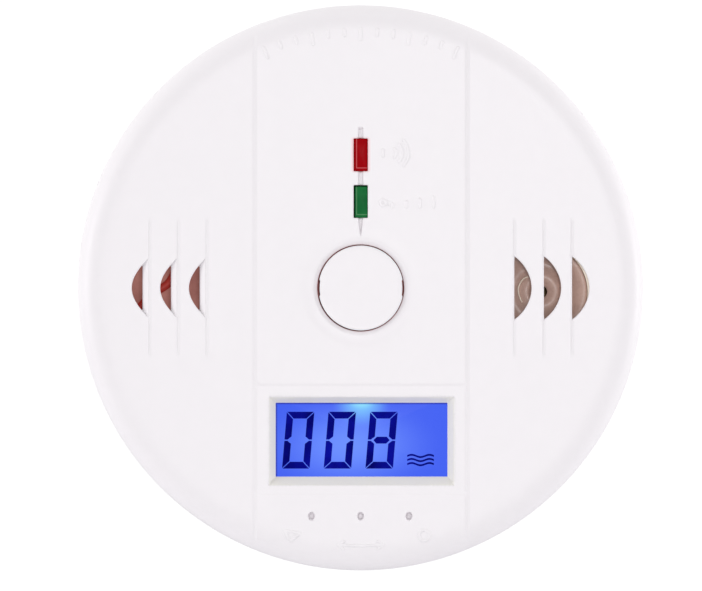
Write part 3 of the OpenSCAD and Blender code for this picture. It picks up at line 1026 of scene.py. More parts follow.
@dataclass(frozen=True)
class DisplayFinish(Finish):
    """The lit display: blue all over, pale in the middle and cyan under its lamp.

    Attributes:
        middle: Middle of the glass that shows.
        half: Half its width and height.
        under: Colour of the painted shadow line under the opening's left and top edges.
        spots: Soft spots of light: place from the middle, half sizes and colour.
    """

    middle: tuple[float, float] = (0.17, -26.7)
    half: tuple[float, float] = (15.11, 6.5)
    under: tuple[float, float, float] = (40, 44, 150)
    spots: tuple[tuple[tuple[float, ...], ...], ...] = (
        ((-2, -1), (17, 9), (112, 148, 255)),
        ((0, 6.8), (5.5, 5.0), (132, 212, 255)),
        ((0, 7.1), (2.9, 2.0), (158, 244, 255)))

    def recipe(self) -> "Recipe":
        """What builds this finish."""
        return DisplayRecipe(self)


class DisplayRecipe(Recipe):
    """The display's light, worked out from the place on the glass."""

    def spot(self, at: Sequence[float], size: Sequence[float]) -> bpy.types.NodeSocket:
        """A soft spot: 1 at its middle, falling to 0 at an ellipse of the given half sizes."""
        gap = self.length(*(self.maths("MULTIPLY", self.off(axis, line), 1 / reach)
                            for axis, line, reach in zip((0, 2), at, size)))
        return self.spread_over(gap, 0.0, 1.0, 1.0, 0.0, True)

    def painted_edge_shadow(self) -> bpy.types.NodeSocket:
        """A painted shadow: a dark line along the left and the top, by the distance in from those
        two edges.
        """
        f = self.finish
        left = self.off(0, f.middle[0] - f.half[0])
        top = self.maths("MULTIPLY", self.off(2, f.middle[1] + f.half[1]), -1.0)
        return self.spread_over(self.maths("MINIMUM", left, top), 0.12, 0.34, 0.8, 0.0)

    def build(self) -> bpy.types.Material:
        """Adds the spots and the painted shadow line to an even blue, and gives the light off.

        Returns:
            The material.
        """
        f = self.finish
        colour = self.mixed(self.cloud(0.12, detail=1.0), screen_colour(*f.colour),
                            screen_colour(*f.second))
        for way, size, tone in f.spots:
            at = (f.middle[0] + way[0], f.middle[1] + way[1])
            colour = self.mixed(self.spot(at, size), colour, screen_colour(*tone))
        # Painted shadow of the opening's left and top edges on the glass.
        colour = self.mixed(self.painted_edge_shadow(), colour, screen_colour(*f.under))
        self.set(Base_Color=screen_colour(20, 24, 90), Roughness=f.roughness,
                 Specular_IOR_Level=f.shine, Coat_Weight=f.coat, Coat_Roughness=0.03,
                 Emission_Color=colour, Emission_Strength=f.glow)
        return self.made


WHITE = CoverFinish("white_face_plastic", (245, 241, 244), (244, 240, 243), size=0.09,
                    relief=0.0012, roughness=0.38, spread=0.05)
CASE_WHITE = Finish("white_case_plastic", (243, 239, 241), (240, 235, 238), size=0.12,
                    relief=0.004, roughness=0.45)
HOLDER_WHITE = Finish("milky_holder_plastic", (232, 232, 230), (222, 223, 222), size=0.2)
RED_LENS = LensFinish("red_lamp_epoxy", (160, 10, 18), (146, 7, 14), Grain.MOTTLED, 0.4, 0.002,
                      0.2, 0.04, glow=0.06, shine=0.01, edge=(206, 96, 100))
GREEN_LENS = LensFinish("green_lamp_epoxy", (34, 112, 60), (26, 98, 52), Grain.MOTTLED, 0.4,
                        0.002, 0.2, 0.04, glow=0.04, shine=0.01, lamp=(0.0, 15.2),
                        edge=(96, 150, 104))
DISPLAY = DisplayFinish("lit_display_glass", (66, 96, 238), (74, 106, 242), roughness=0.2,
                        glow=0.93, relief=0, shine=0.02)
DIGIT_INK = Finish("display_segments", (4, 5, 88), (10, 14, 140), Grain.MOTTLED, 0.9, 0,
                   0.4, 0.05, glow=0.3, shine=0.0)
REAR_GLASS = Finish("display_rear_glass", (186, 205, 214), (176, 196, 208), Grain.MOTTLED, 0.5,
                    0.002, 0.12, 0.03, clear=0.6)
FILM = Finish("diffuser_film", (238, 240, 246), (228, 232, 240), Grain.MOTTLED, 0.2, 0.01, 0.6)
GUIDE = Finish("light_guide_acrylic", (190, 208, 250), (170, 192, 244), Grain.MOTTLED, 0.6,
               0.004, 0.15, 0.03, clear=0.5)
LAMP_EPOXY = Finish("backlight_epoxy", (240, 244, 250), (226, 232, 240), size=0.2, coat=0.4)
RUBBER = Finish("striped_elastomer", (226, 150, 160), (92, 84, 88), Grain.WOUND, 0.36, 0.01,
                0.7, axis=0)
SOUNDER = Finish("sounder_plastic", (212, 180, 166), (196, 162, 148), Grain.MOTTLED, 0.6,
                 0.012, 0.3, 0.08, shine=0.4)
CREAM = Finish("cream_plastic", (250, 238, 220), (246, 232, 212), size=0.1, relief=0.003)
BRASS = Finish("brass_sheet", (112, 88, 52), (90, 68, 40), Grain.BRUSHED, 0.15, 0.004, 0.5,
               0.1, 0.7, axis=0)
COPPER = Finish("copper_winding", (190, 104, 58), (110, 52, 28), Grain.WOUND, 0.35, 0.12, 0.32,
                0.08, 0.9, axis=1)
# The glow is painted light: it brightens the sensor cap seen through the left louvres, where
# little light reaches.
PHENOLIC = Finish("sensor_phenolic", (196, 140, 130), (172, 116, 108), Grain.MOTTLED, 0.5,
                  0.01, 0.6, glow=0.28, shine=0.1)
BOARD = Finish("paper_laminate", (176, 122, 100), (140, 90, 72), Grain.LAMINATE, 0.8, 0.01,
               0.6, 0.1, shine=0.15)
STEEL_CAN = Finish("drawn_steel_can", (206, 206, 204), (182, 182, 182), Grain.BRUSHED, 0.12,
                   0.004, 0.28, 0.08, 1.0)
TINNED = Finish("tinned_wire", (214, 214, 210), (190, 190, 188), Grain.BRUSHED, 0.1, 0.004, 0.3,
                0.1, 1.0, axis=1)
NICKEL = Finish("nickel_strip", (212, 208, 198), (188, 184, 176), Grain.BRUSHED, 0.15, 0.004,
                0.25, 0.08, 1.0)
SPRING_WIRE = Finish("spring_steel", (198, 198, 200), (170, 170, 174), Grain.BRUSHED, 0.08,
                     0.003, 0.26, 0.08, 1.0)
SCREW = Finish("zinc_screw", (196, 196, 190), (166, 166, 160), Grain.BRUSHED, 0.1, 0.006, 0.35,
               0.1, 1.0, axis=1)
BLACK = Finish("black_moulding", (34, 34, 36), (26, 26, 28), size=0.1, relief=0.006,
               roughness=0.5)
SLEEVE = Finish("capacitor_sleeve", (34, 38, 72), (24, 28, 56), size=0.2, relief=0.004,
                roughness=0.3, coat=0.3)
LACQUER = Finish("resistor_lacquer", (206, 178, 134), (170, 116, 70), Grain.WOUND, 1.5, 0.02,
                 0.4)
CELL_WRAP = Finish("cell_wrap", (58, 62, 70), (74, 80, 90), Grain.BRUSHED, 0.2, 0.003, 0.3,
                   0.06, 0.6, 0.3, axis=0)
# The glow is painted light: it brightens the wire seen through the left louvres.
RED_WIRE = Finish("red_insulation", (204, 74, 64), (186, 60, 52), size=0.15, relief=0.004,
                  roughness=0.42, glow=0.1, shine=0.3)
BLACK_WIRE = Finish("black_insulation", (30, 30, 32), (20, 20, 22), size=0.15, relief=0.004,
                    roughness=0.42)
FLOOR = Finish("pale_floor", (236, 236, 238), (232, 232, 234), Grain.MOTTLED, 3.0, 0.0, 0.8)


def placed(name: str, data: bpy.types.ID) -> bpy.types.Object:
    """Makes an object and puts it in the scene."""
    made = bpy.data.objects.new(name, data)
    bpy.context.scene.collection.objects.link(made)
    return made


def piece(name: str, skin: Skin, finish: Finish, body: Body,
          stands_for: Sequence[str] = (), crease: float = 35.0) -> bpy.types.Object:
    """Makes a finished piece, hangs it on its body's empty and hides the CAD nodes that it
    replaces.

    Args:
        name: The piece's name.
        skin: Its surface.
        finish: Its material.
        body: The body it rides on.
        stands_for: CAD nodes that it replaces.
        crease: Angle past which an edge between two faces is sharp.

    Returns:
        The object.
    """
    made = placed(name, skin.mesh(name, crease))
    made.data.materials.append(finish.material())
    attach(made, body.value)
    if stands_for:
        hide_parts(*stands_for)
    log.info("%s: %d faces, rides on %s", name, len(made.data.polygons), body.value)
    return made


def dress(nodes: Sequence[str], finish: Finish) -> None:
    """Gives carried-over CAD nodes a finish, in every material slot that they have.

    Args:
        nodes: Names of the nodes.
        finish: Their finish.
    """
    for name in nodes:
        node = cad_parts[name]
        if not node.material_slots:
            node.data.materials.append(finish.material())
        for place in node.material_slots:
            place.material = finish.material()
        log.info("%s: carried over in %s", name, finish.name)


CARRIED_OVER: tuple[tuple[Finish, tuple[str, ...]], ...] = (
    (BLACK, ("switch_body", "switch_plunger", "co_sensor_base", "controller_chip")),
    (STEEL_CAN, ("switch_cover", "co_sensor_can")),
    (TINNED, ("switch_pins", "led_leads", "sounder_pins", "co_sensor_pins", "controller_legs")),
    (REAR_GLASS, ("lcd_rear_glass",)), (FILM, ("lcd_diffuser",)), (GUIDE, ("light_guide",)),
    (HOLDER_WHITE, ("lcd_holder",)), (RUBBER, ("lcd_connector",)),
    (LAMP_EPOXY, ("backlight_led",)), (BRASS, ("piezo_disc",)), (BOARD, ("main_board",)),
    (PHENOLIC, ("co_sensor_cap",)), (SLEEVE, ("capacitors",)), (LACQUER, ("resistors",)),
    (COPPER, ("coil",)), (CELL_WRAP, ("battery_bottom", "battery_middle", "battery_top")),
    (NICKEL, ("positive_contact", "negative_contact", "right_bridge", "left_bridge")),
    (SPRING_WIRE, ("cell_springs",)), (SCREW, ("case_screws", "board_screws")),
)


# ------------------------------------------------------------------ front cover


@dataclass(frozen=True)
class Louvres:
    """The three louvre openings of one side: a straight edge and a bow out from the ridge.

    Attributes:
        side: 1 at the right and -1 at the left.
        ridges: Distances of the ridges from the face's middle.
        ledge: Distance from a ridge to the straight edge.
        reach: Distance from a ridge to the middle of the bow.
        tip: Height at which the bow meets the ridge.
        power: How pointed the bow is: below 1 it's round, above 1 its ends flare in.
    """

    side: int
    ridges: tuple[float, ...]
    ledge: float
    reach: float
    tip: float
    power: float

    def bow(self, up: np.ndarray) -> np.ndarray:
        """Distance of the bow from its ridge: reach times (1 - (up / tip)^2)^power."""
        return self.reach * np.maximum(1 - (up / self.tip) ** 2, 0) ** self.power

    def outlines(self) -> list[np.ndarray]:
        """The openings' outlines, anticlockwise, with points close together at the tips.

        Returns:
            An outline for each opening.
        """
        fine = np.linspace(-self.tip, self.tip, 4001)
        end = fine[self.bow(fine) > self.ledge + 0.05].max()
        up = end * np.sin(np.linspace(-math.pi / 2, math.pi / 2, 41))
        out = np.maximum(self.bow(up), self.ledge + 0.02)
        straight = np.linspace(end, -end, 16)[1:-1]
        x = np.concatenate([out, np.full(len(straight), self.ledge)])
        height = np.concatenate([up, straight])
        made = [np.column_stack([self.side * (ridge + x), height]) for ridge in self.ridges]
        return made if self.side > 0 else [outline[::-1] for outline in made]


@dataclass(frozen=True)
class FaceRelief(NoRelief):
    """What is moulded on the face, as depths below it; raised things are negative.

    Attributes:
        groove_x: Distance of the two upright grooves from the middle.
        louvres: The openings of the two sides.
        button_hole: Radius of the button's hole.
        window: Left, right, bottom and top of the display's opening at the face.
        bevel: Widths of the slope along those four edges.
        bevel_depth: How far the slope goes down.
        channel: Bottom and top of the lamps' channel.
        dimples: Places of the three small pits.
        marks: Lines of the raised marks.
        mark_width: Half width of those lines.
        mark_height: How far they stand up.
        holes: Outlines whose edges are softened.
        groove_fade: Radii between which the grooves end.
        groove_cut: Depth, left and right widths, and lip of a groove.
        ridge_fade: Heights between which the ridges end.
        ridge_cut: Depth, left and right widths, and lip of a ridge's furrow.
        slope_depth: Depth of the left louvres' slopes at the openings.
        halo_depth: How far the face turns down at the button's hole.
        halo_end: Radius where it begins to.
        bead: Height of the bead round the button, and the radii where it rises and falls.
        channel_half: Half width of the lamps' channel.
        channel_taper: Length of its point.
        channel_depth: Its depth.
        pad_depth: How far the panel round the display lies lower.
        pad_levels: Heights of its bottom and top edges, each from where it starts to turn.
        pit_half: Half width and height of a pit.
        pit_depth: Its depth.
        soft: Depth and width of the softening at the openings.
    """

    groove_x: float
    louvres: tuple[Louvres, ...]
    button_hole: float
    window: tuple[float, float, float, float]
    bevel: tuple[float, float, float, float]
    bevel_depth: float
    channel: tuple[float, float]
    dimples: tuple[tuple[float, float], ...]
    marks: tuple[np.ndarray, ...]
    mark_width: float
    mark_height: float
    holes: tuple[np.ndarray, ...]
    groove_fade: tuple[float, float] = (47.3, 48.6)
    groove_cut: tuple[float, float, float, float] = (0.08, 0.42, 0.5, 0.04)
    ridge_fade: tuple[float, float] = (11.2, 12.4)
    ridge_cut: tuple[float, float, float, float] = (0.1, 0.2, 0.45, 0.03)
    slope_depth: float = 0.8
    halo_depth: float = 0.3
    halo_end: float = 8.4
    bead: tuple[float, ...] = (0.05, 8.1, 9.0, 9.2, 10.6)
    channel_half: float = 0.42
    channel_taper: float = 3.2
    channel_depth: float = 0.7
    pad_depth: float = 0.07
    pad_levels: tuple[float, float, float, float] = (-36.5, -36.1, -17.2, -16.8)
    pit_half: tuple[float, float] = (0.6, 0.75)
    pit_depth: float = 1.2
    soft: tuple[float, float] = (0.16, 0.2)

    def sink(self, seen: np.ndarray) -> np.ndarray:
        """Adds up every feature's depth at each point seen from the front."""
        return (self.grooves(seen) + self.ribs(seen) + self.halo(seen) + self.opening(seen)
                + self.lamp_channel(seen) + self.pad(seen) + self.pits(seen)
                - self.raised(seen) + self.softened(seen))

    def grooves(self, seen: np.ndarray) -> np.ndarray:
        """Two shallow upright grooves that fade out on the rounded edge."""
        end = 1 - ease(np.hypot(seen[:, 0], seen[:, 1]), *self.groove_fade)
        return end * sum(self.furrow(seen[:, 0] - side * self.groove_x, *self.groove_cut)
                         for side in (-1, 1))

    @staticmethod
    def furrow(off: np.ndarray, depth: float, left: float, right: float, lip: float
               ) -> np.ndarray:
        """Depth across a furrow: straight down its left wall, up its right one to a low lip,
        and back to the face over two millimetres.

        Args:
            off: Distance to the right of the furrow's bottom.
            depth: Depth of the bottom.
            left: Width of the left wall.
            right: Width of the right wall.
            lip: Height of the lip.

        Returns:
            The depth at each point.
        """
        return np.interp(off, [-left, 0, right, right + 0.15, right + 2],
                         [0, depth, -lip, -lip, 0])

    def ribs(self, seen: np.ndarray) -> np.ndarray:
        """Each ridge is a fine furrow with a steep left wall and a gentle right one. On the left
        a slope also runs from the furrow down to the opening.

        Args:
            seen: (n, 2) places on the face.

        Returns:
            Their depth at each place.
        """
        total = np.zeros(len(seen))
        up = seen[:, 1]
        fade = 1 - ease(np.abs(up), *self.ridge_fade)
        for group in self.louvres:
            for ridge in group.ridges:
                total += fade * self.furrow(seen[:, 0] - group.side * ridge, *self.ridge_cut)
                if group.ledge > 1:
                    t = group.side * seen[:, 0] - ridge
                    bow = group.bow(up)
                    within = (1 - ease(t - bow, -0.12, 0.0)) * ease(t, 0.05, 0.3)
                    slope = self.slope_depth * np.clip((t - 0.1) / (group.ledge - 0.1), 0, 1)
                    total += slope * within * (bow > 0.2)
        return total

    def halo(self, seen: np.ndarray) -> np.ndarray:
        """A low bead round the button that turns down into its hole."""
        r = np.hypot(seen[:, 0], seen[:, 1])
        height, *radii = self.bead
        bead = height * ease(r, *radii[:2]) * (1 - ease(r, *radii[2:]))
        return self.halo_depth * (1 - ease(r, self.button_hole - 0.1, self.halo_end)) - bead

    def opening(self, seen: np.ndarray) -> np.ndarray:
        """A straight slope from each edge of the display's opening down to the glass: the
        smallest of the four shares of the way in counts."""
        x, z = seen.T
        left, right, low, high = self.window
        ways = (x - left, right - x, z - low, high - z)
        share = np.min([way / width for way, width in zip(ways, self.bevel)], axis=0)
        return self.bevel_depth * np.clip(share, 0, 1.2)

    def half_channel(self, up: np.ndarray) -> np.ndarray:
        """Half width of the lamps' channel at each height."""
        return self.channel_half * np.clip((up - self.channel[0]) / self.channel_taper, 0, 1)

    def lamp_channel(self, seen: np.ndarray) -> np.ndarray:
        """A narrow channel through both lamps: even at the top, pointed at the bottom."""
        low, high = self.channel
        across = np.abs(seen[:, 0]) - self.half_channel(seen[:, 1])
        ends = np.minimum(ease(seen[:, 1], low, low + 1.2), 1 - ease(seen[:, 1], high - 0.3, high))
        return self.channel_depth * (1 - ease(across, -0.14, 0.1)) * ends

    def pad(self, seen: np.ndarray) -> np.ndarray:
        """The panel round the display lies a little lower, between the two grooves."""
        inside = 1 - ease(np.abs(seen[:, 0]), self.groove_x - 0.4, self.groove_x)
        band = (ease(seen[:, 1], *self.pad_levels[:2])
                * (1 - ease(seen[:, 1], *self.pad_levels[2:])))
        return self.pad_depth * inside * band

    def pits(self, seen: np.ndarray) -> np.ndarray:
        """Three small oval pits."""
        total = np.zeros(len(seen))
        for x, y in self.dimples:
            gap = np.hypot(*((seen - [x, y]) / self.pit_half).T)
            total += self.pit_depth * (1 - ease(gap, 0.6, 1.08))
        return total

    def raised(self, seen: np.ndarray) -> np.ndarray:
        """The raised marks: full height within half their width, with soft sides.

        Args:
            seen: (n, 2) places on the face.

        Returns:
            Their height at each place.
        """
        total = np.zeros(len(seen))
        for line in self.marks:
            near = ((seen > line.min(0) - 0.6) & (seen < line.max(0) + 0.6)).all(1)
            if near.any():
                gap = gap_to_path(seen[near], line, False)
                rise = 1 - ease(gap, self.mark_width - 0.07, self.mark_width + 0.07)
                total[near] = np.maximum(total[near], rise * self.mark_height)
        return total

    def softened(self, seen: np.ndarray) -> np.ndarray:
        """Rounds the face over at the edges of its openings: its depth goes with the square of
        the share of the way in."""
        total = np.zeros(len(seen))
        for hole in self.holes:
            gap = signed_gap(seen, hole, 0.5)
            total += self.soft[0] * np.clip(1 - gap / self.soft[1], 0, 1.2) ** 2
        return total

    def guides(self) -> np.ndarray:
        """Rows of points along every feature, close together where the surface turns.

        Returns:
            (n, 2) points.
        """
        parts = []
        up = np.arange(-44.8, 44.9, 0.9)
        for side in (-1, 1):
            for off in (-0.46, -0.38, -0.04, 0.04, 0.46, 0.54, 0.66, 2.5):
                parts.append(self.column(side * self.groove_x + off, up))
        up = np.arange(-12.6, 12.7, 0.6)
        for group in self.louvres:
            z = group.tip * np.sin(np.linspace(-1.57, 1.57, 70))
            for ridge in group.ridges:
                for off in (-0.5, -0.23, -0.17, -0.03, 0.03, 0.24, 0.42, 0.5, 0.62, 2.45):
                    parts.append(self.column(group.side * ridge + off, up))
                for off in (-0.14, -0.07, 0.0, 0.08, 0.2, 0.4):
                    out = np.maximum(group.bow(z), 0.1) + off
                    parts.append(self.column(group.side * (ridge + out), z))
                if group.ledge > 1:
                    for share in (0.1, 0.3, 0.55, 0.8):
                        parts.append(self.column(group.side * (ridge + group.ledge * share), z))
        for radius in (7.78, 7.9, 8.05, 8.2, 8.4, 8.6, 8.8, 9.0, 9.2, 9.5, 9.8, 10.2, 10.8):
            parts.append(circle(radius, 144))
        for grow in (-1.0, -0.6, -0.12, 0.0, 0.12, 0.4):
            left, right, low, high = self.window
            box = rounded_rectangle(right - left + 2 * grow, high - low + 2 * grow, 0.05, 1,
                                    ((left + right) / 2, (low + high) / 2))
            parts.append(with_steps(box, 0.7))
        up = np.arange(self.channel[0], self.channel[1] + 0.3, 0.3)
        half = self.half_channel(up)
        for off in (-0.16, -0.06, 0.04, 0.12, 0.25):
            for side in (-1, 1):
                parts.append(self.column(side * np.maximum(half + off, 0.02), up))
        across = np.arange(-18.4, 18.5, 0.8)
        for level in (-36.6, -36.4, -36.2, -36.0, -17.3, -17.1, -16.9, -16.7):
            parts.append(self.column(across, level))
        for centre in self.dimples:
            for radius in (0.25, 0.45, 0.55, 0.64, 0.74, 0.86):
                ring = circle(radius, 20)
                parts.append(ring * [0.93, 1.12] + centre)
        for line in self.marks:
            for off in (-0.11, -0.03, 0.05, 0.14):
                half = self.mark_width + off
                parts.extend(self.beside(line, half))
            parts.append(evenly(line, 0.5, False))
        for hole in self.holes:
            slope = np.roll(hole, -1, axis=0) - np.roll(hole, 1, axis=0)
            slope /= np.maximum(np.linalg.norm(slope, axis=1, keepdims=True), 1e-9)
            away = np.column_stack([slope[:, 1], -slope[:, 0]])
            for off in (0.07, 0.14, 0.21, 0.34):
                parts.append(hole + away * off)
        every = np.vstack(parts)
        return every[np.hypot(*every.T) < 49]

    @staticmethod
    def column(across: np.ndarray | float, up: np.ndarray | float) -> np.ndarray:
        """Points from two coordinates, either of which may be one number for them all."""
        return np.column_stack(np.broadcast_arrays(across, up)).astype(float)

    @staticmethod
    def beside(line: np.ndarray, half: float) -> list[np.ndarray]:
        """Rows of points at both sides of a line and round its ends."""
        path = evenly(line, 0.45, False)
        slope = np.gradient(path, axis=0)
        slope /= np.maximum(np.linalg.norm(slope, axis=1, keepdims=True), 1e-9)
        away = np.column_stack([slope[:, 1], -slope[:, 0]])
        return [path + away * half, path - away * half,
                path[:1] - slope[:1] * half, path[-1:] + slope[-1:] * half]


@dataclass
class FrontCover:
    """The round white moulding with the louvres, the window and the button's hole."""

    edge_radius: float = 5.4
    wall: float = 2.0
    crown: float = 0.35
    flare: float = 0.25
    groove_x: float = 18.7
    louvres: tuple[Louvres, ...] = (
        Louvres(1, (26.9, 32.1, 37.05), 0.1, 3.15, 5.6, 0.85),
        Louvres(-1, (27.1, 32.15, 37.15), 1.2, 3.08, 5.6, 1.25))
    hole: float = 7.66
    window: tuple[float, float, float, float] = (-16.12, 16.48, -34.7, -19.15)
    bevel: tuple[float, float, float, float] = (1.18, 1.2, 1.5, 1.05)
    bevel_depth: float = 1.5
    lamp_hole: tuple[float, float] = (2.5, 5.76)
    channel: tuple[float, float] = (8.9, 28.2)
    dimples: tuple[tuple[float, float], ...] = ((-8.65, -40.1), (0.0, -40.1), (8.5, -40.1))
    mark_width: float = 0.24
    mark_height: float = 0.11
    screw_posts: tuple[float, float] = (23.5, 28.5)
    board_posts: tuple[tuple[float, float], ...] = ((-36, 16), (36, 16), (0, -40.2))

    def marks(self) -> list[np.ndarray]:
        """Lines of the plain marks: ticks along the top, waves and bars by the lamps, and the
        signs for turning along the bottom.

        Returns:
            The lines.
        """
        ticks = [self.polar((43.6 if k % 3 == 0 else 44.4, angle), (45.6, angle))
                 for k, angle in enumerate(np.linspace(112, 68, 13))]
        waves = [ring_path(1.2 + 1.1 * k, -42, 42, 7) + [5.0, 23.7] for k in range(3)]
        bars = [np.array([[5.6 + 2.4 * k, 14.2], [5.6 + 2.4 * k, 14.8 + 0.4 * k]])
                for k in range(4)]
        rings = [evenly(circle(0.55, 12, (3.9, 15.0)), 0.3), circle(0.95, 16, (11.2, -43.5)),
                 np.array([[-13.4, -42.6], [-10.6, -43.1], [-12.4, -44.5]])]
        arrow = [ring_path(45.3, 265, 275, 9)]
        arrow += [self.polar((44.6, inner), (45.3, end), (46.0, inner))
                  for inner, end in ((266.2, 265), (273.8, 275))]
        return (ticks + waves + [np.array([[3.9, 23.1], [3.9, 24.3]])] + bars + arrow
                + [np.vstack([ring, ring[:1]]) for ring in rings])

    @staticmethod
    def polar(*places: tuple[float, float]) -> np.ndarray:
        """Points from pairs of a radius and an angle in degrees."""
        return np.vstack([ring_path(radius, angle, angle, 1) for radius, angle in places])

    def build(self) -> None:
        """Makes the shell and the posts behind it."""
        cover, sounder = Extent.of("front_cover"), Extent.of("sounder_lid")
        radius, front, rim = cover.width / 2, cover.front, cover.back
        left, right, low, high = (edge + sign * width for edge, sign, width in zip(
            self.window, (1, -1, 1, -1), self.bevel))
        holes = [circle(self.hole, 96)]
        for lamp in (Extent.of("red_led"), Extent.of("green_led")):
            holes.append(with_steps(rounded_rectangle(*self.lamp_hole, 0.12, 2, lamp.middle), 0.5))
        holes.append(with_steps(rounded_rectangle(
            right - left, high - low, 0.08, 2, ((left + right) / 2, (low + high) / 2)), 0.9))
        for group in self.louvres:
            holes += group.outlines()
        relief = FaceRelief(self.groove_x, self.louvres, self.hole, self.window, self.bevel,
                            self.bevel_depth, self.channel, self.dimples, tuple(self.marks()),
                            self.mark_width, self.mark_height, tuple(holes[1:3] + holes[4:]))
        outer = Section.dished(radius, front, rim, self.edge_radius, self.crown, self.flare)
        inner = Section.dished(radius - self.wall, front - self.wall, rim,
                               self.edge_radius - self.wall, self.crown, self.flare)
        shell = Dish(outer, inner, holes, relief)
        piece("cover_shell", shell.skin(), WHITE, Body.HEAD, ["front_cover"])
        r, top = sounder.width / 2, front - self.wall
        x, y = self.screw_posts
        posts = [self.post(at, 3.0, 1.3, 9.6, top) for at in ((x, y), (-x, y), (-x, -y), (x, -y))]
        posts += [self.post(at, 2.7, 1.1, 22.6, top) for at in self.board_posts]
        piece("cover_posts", Skin.joined(posts), CASE_WHITE, Body.HEAD)
        collar = lathe([(r + 0.04, top + 0.1), (r + 0.04, top - 3.9), (r + 0.25, top - 4),
                        (r + 1.2, top - 4), (r + 1.4, top - 3.8), (r + 1.4, top + 0.1)],
                       96, True, sounder.middle)
        piece("sounder_collar", collar, CREAM, Body.HEAD)

    @staticmethod
    def post(at: Sequence[float], outer: float, bore: float, back: float, front: float) -> Skin:
        """A round screw post with a blind bore, turned about its own axis."""
        floor = min(front - 2.5, 31.6)
        return lathe([(0, floor), (bore, floor), (bore, back + 0.2), (bore + 0.2, back),
                      (outer - 0.2, back), (outer, back + 0.2), (outer, front - 0.3),
                      (outer + 0.4, front + 0.1), (0, front + 0.1)], 32, centre=at)


@dataclass
class TestButton:
    """The round cap over the test switch, and its spring.

    Attributes:
        cap_radius: Radius of the cap.
        edge: Radius of its front edge.
        shift: How far it sits to the right.
        notch_half: Half height of the notches at its left and right.
        notch_depth: Their depth.
        foot: Height of the skirt's foot above the wall.
        skirt: Inner radius of the skirt.
        post: Radius of the post that pushes the switch.
        skin: Thickness of the cap's front.
        tip_gap: How much short of the switch the post ends at full travel.
        turns: Turns of the spring.
        wire: Radius of its wire.
        travel: How far the button goes in. Not used.
    """

    cap_radius: float = 7.46
    edge: float = 0.3
    shift: float = 0.04
    notch_half: float = 1.4
    notch_depth: float = 0.2
    foot: float = 34.4
    skirt: float = 6.1
    post: float = 2.2
    skin: float = 2.0
    tip_gap: float = 0.04
    turns: int = 6
    wire: float = 0.25
    travel: float = 0.8

    def build(self) -> None:
        """Makes the cap and the spring."""
        box, spring = Extent.of("test_button"), Extent.of("button_spring")
        top, foot, flange = box.front, self.foot, box.width / 2
        turn = np.radians(np.linspace(0, 90, 7))
        tip = box.back + self.tip_gap
        section = [(0, tip), (self.post - 0.3, tip), (self.post, tip + 0.3),
                   (self.post, top - self.skin), (self.skirt, top - self.skin),
                   (self.skirt, foot), (flange - 0.1, foot), (flange, foot + 0.1),
                   (flange, foot + 0.9), (flange - 0.1, foot + 1), (self.cap_radius, foot + 1)]
        r = self.cap_radius - self.edge
        section += [(r + self.edge * math.cos(a), top - self.edge + self.edge * math.sin(a))
                    for a in turn]
        section += [(q, top) for q in (6.6, 5.5, 4.0, 2.0)] + [(0, top)]
        skin = lathe(section, 192)
        p = skin.points
        r = np.hypot(p[:, 0], p[:, 1])
        rim = ease(r, 6.6, 7.2) * (1 - ease(r, 7.5, 7.6)) * (p[:, 2] > foot + 0.5)
        pull = self.notch_depth * (1 - ease(np.abs(p[:, 1]), self.notch_half - 0.1,
                                            self.notch_half + 0.1)) * rim
        p[:, 0] += self.shift - np.sign(p[:, 0]) * pull
        p[:, 2] += np.where(p[:, 2] > top - 0.01, 0.02 * (1 - ease(r, 0, 7.0)) - 0.02, 0)
        piece("button_cap", skin, WHITE, Body.BUTTON, ["test_button"])
        made = piece("return_spring", self.coil(spring), SPRING_WIRE, Body.BUTTON,
                     ["button_spring"])
        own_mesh(made)

    def coil(self, box: Extent) -> Skin:
        """The spring: a wire round the axis that rises evenly, with level end turns.

        Args:
            box: The CAD spring's box.

        Returns:
            The wire's surface.
        """
        steps, level_steps = self.turns * 40, 20
        turn = TAU * self.turns * np.linspace(0, 1, steps + 1)
        mean, foot, top = box.width / 2 - self.wire, box.back + self.wire, box.front - self.wire
        rise = np.concatenate([np.full(level_steps, foot),
                               np.linspace(foot, top, steps + 1 - 2 * level_steps),
                               np.full(level_steps, top)])
        path = np.column_stack([mean * np.cos(turn), mean * np.sin(turn), rise])
        return tube(path, self.wire, 8, (0, 0, 1))


@dataclass
class Lamps:
    """The two upright lamps above the button."""

    sizes: tuple[tuple[float, float], ...] = ((2.44, 5.7), (2.24, 5.46))
    shifts: tuple[tuple[float, float], ...] = ((0.0, 0.0), (0.1, -0.12))

    def build(self) -> None:
        """Makes each lamp's block of epoxy with its foot, a little off the hole's middle."""
        for (node, name, finish, slot), (wide, high), (right, up) in zip(
                (("red_led", "alarm_lamp", RED_LENS, "red_lens"),
                 ("green_led", "power_lamp", GREEN_LENS, "green_lens")), self.sizes, self.shifts):
            box = Extent.of(node)
            x, y = box.middle
            lens = block(wide, high, box.back + 0.5, box.front, 0.25, 0.18, (x + right, y + up))
            foot = block(box.width, box.height, box.back, box.back + 1, 0.4, 0.12, (x, y))
            piece(name, Skin.joined([foot, lens]), finish, Body.HEAD, [node])


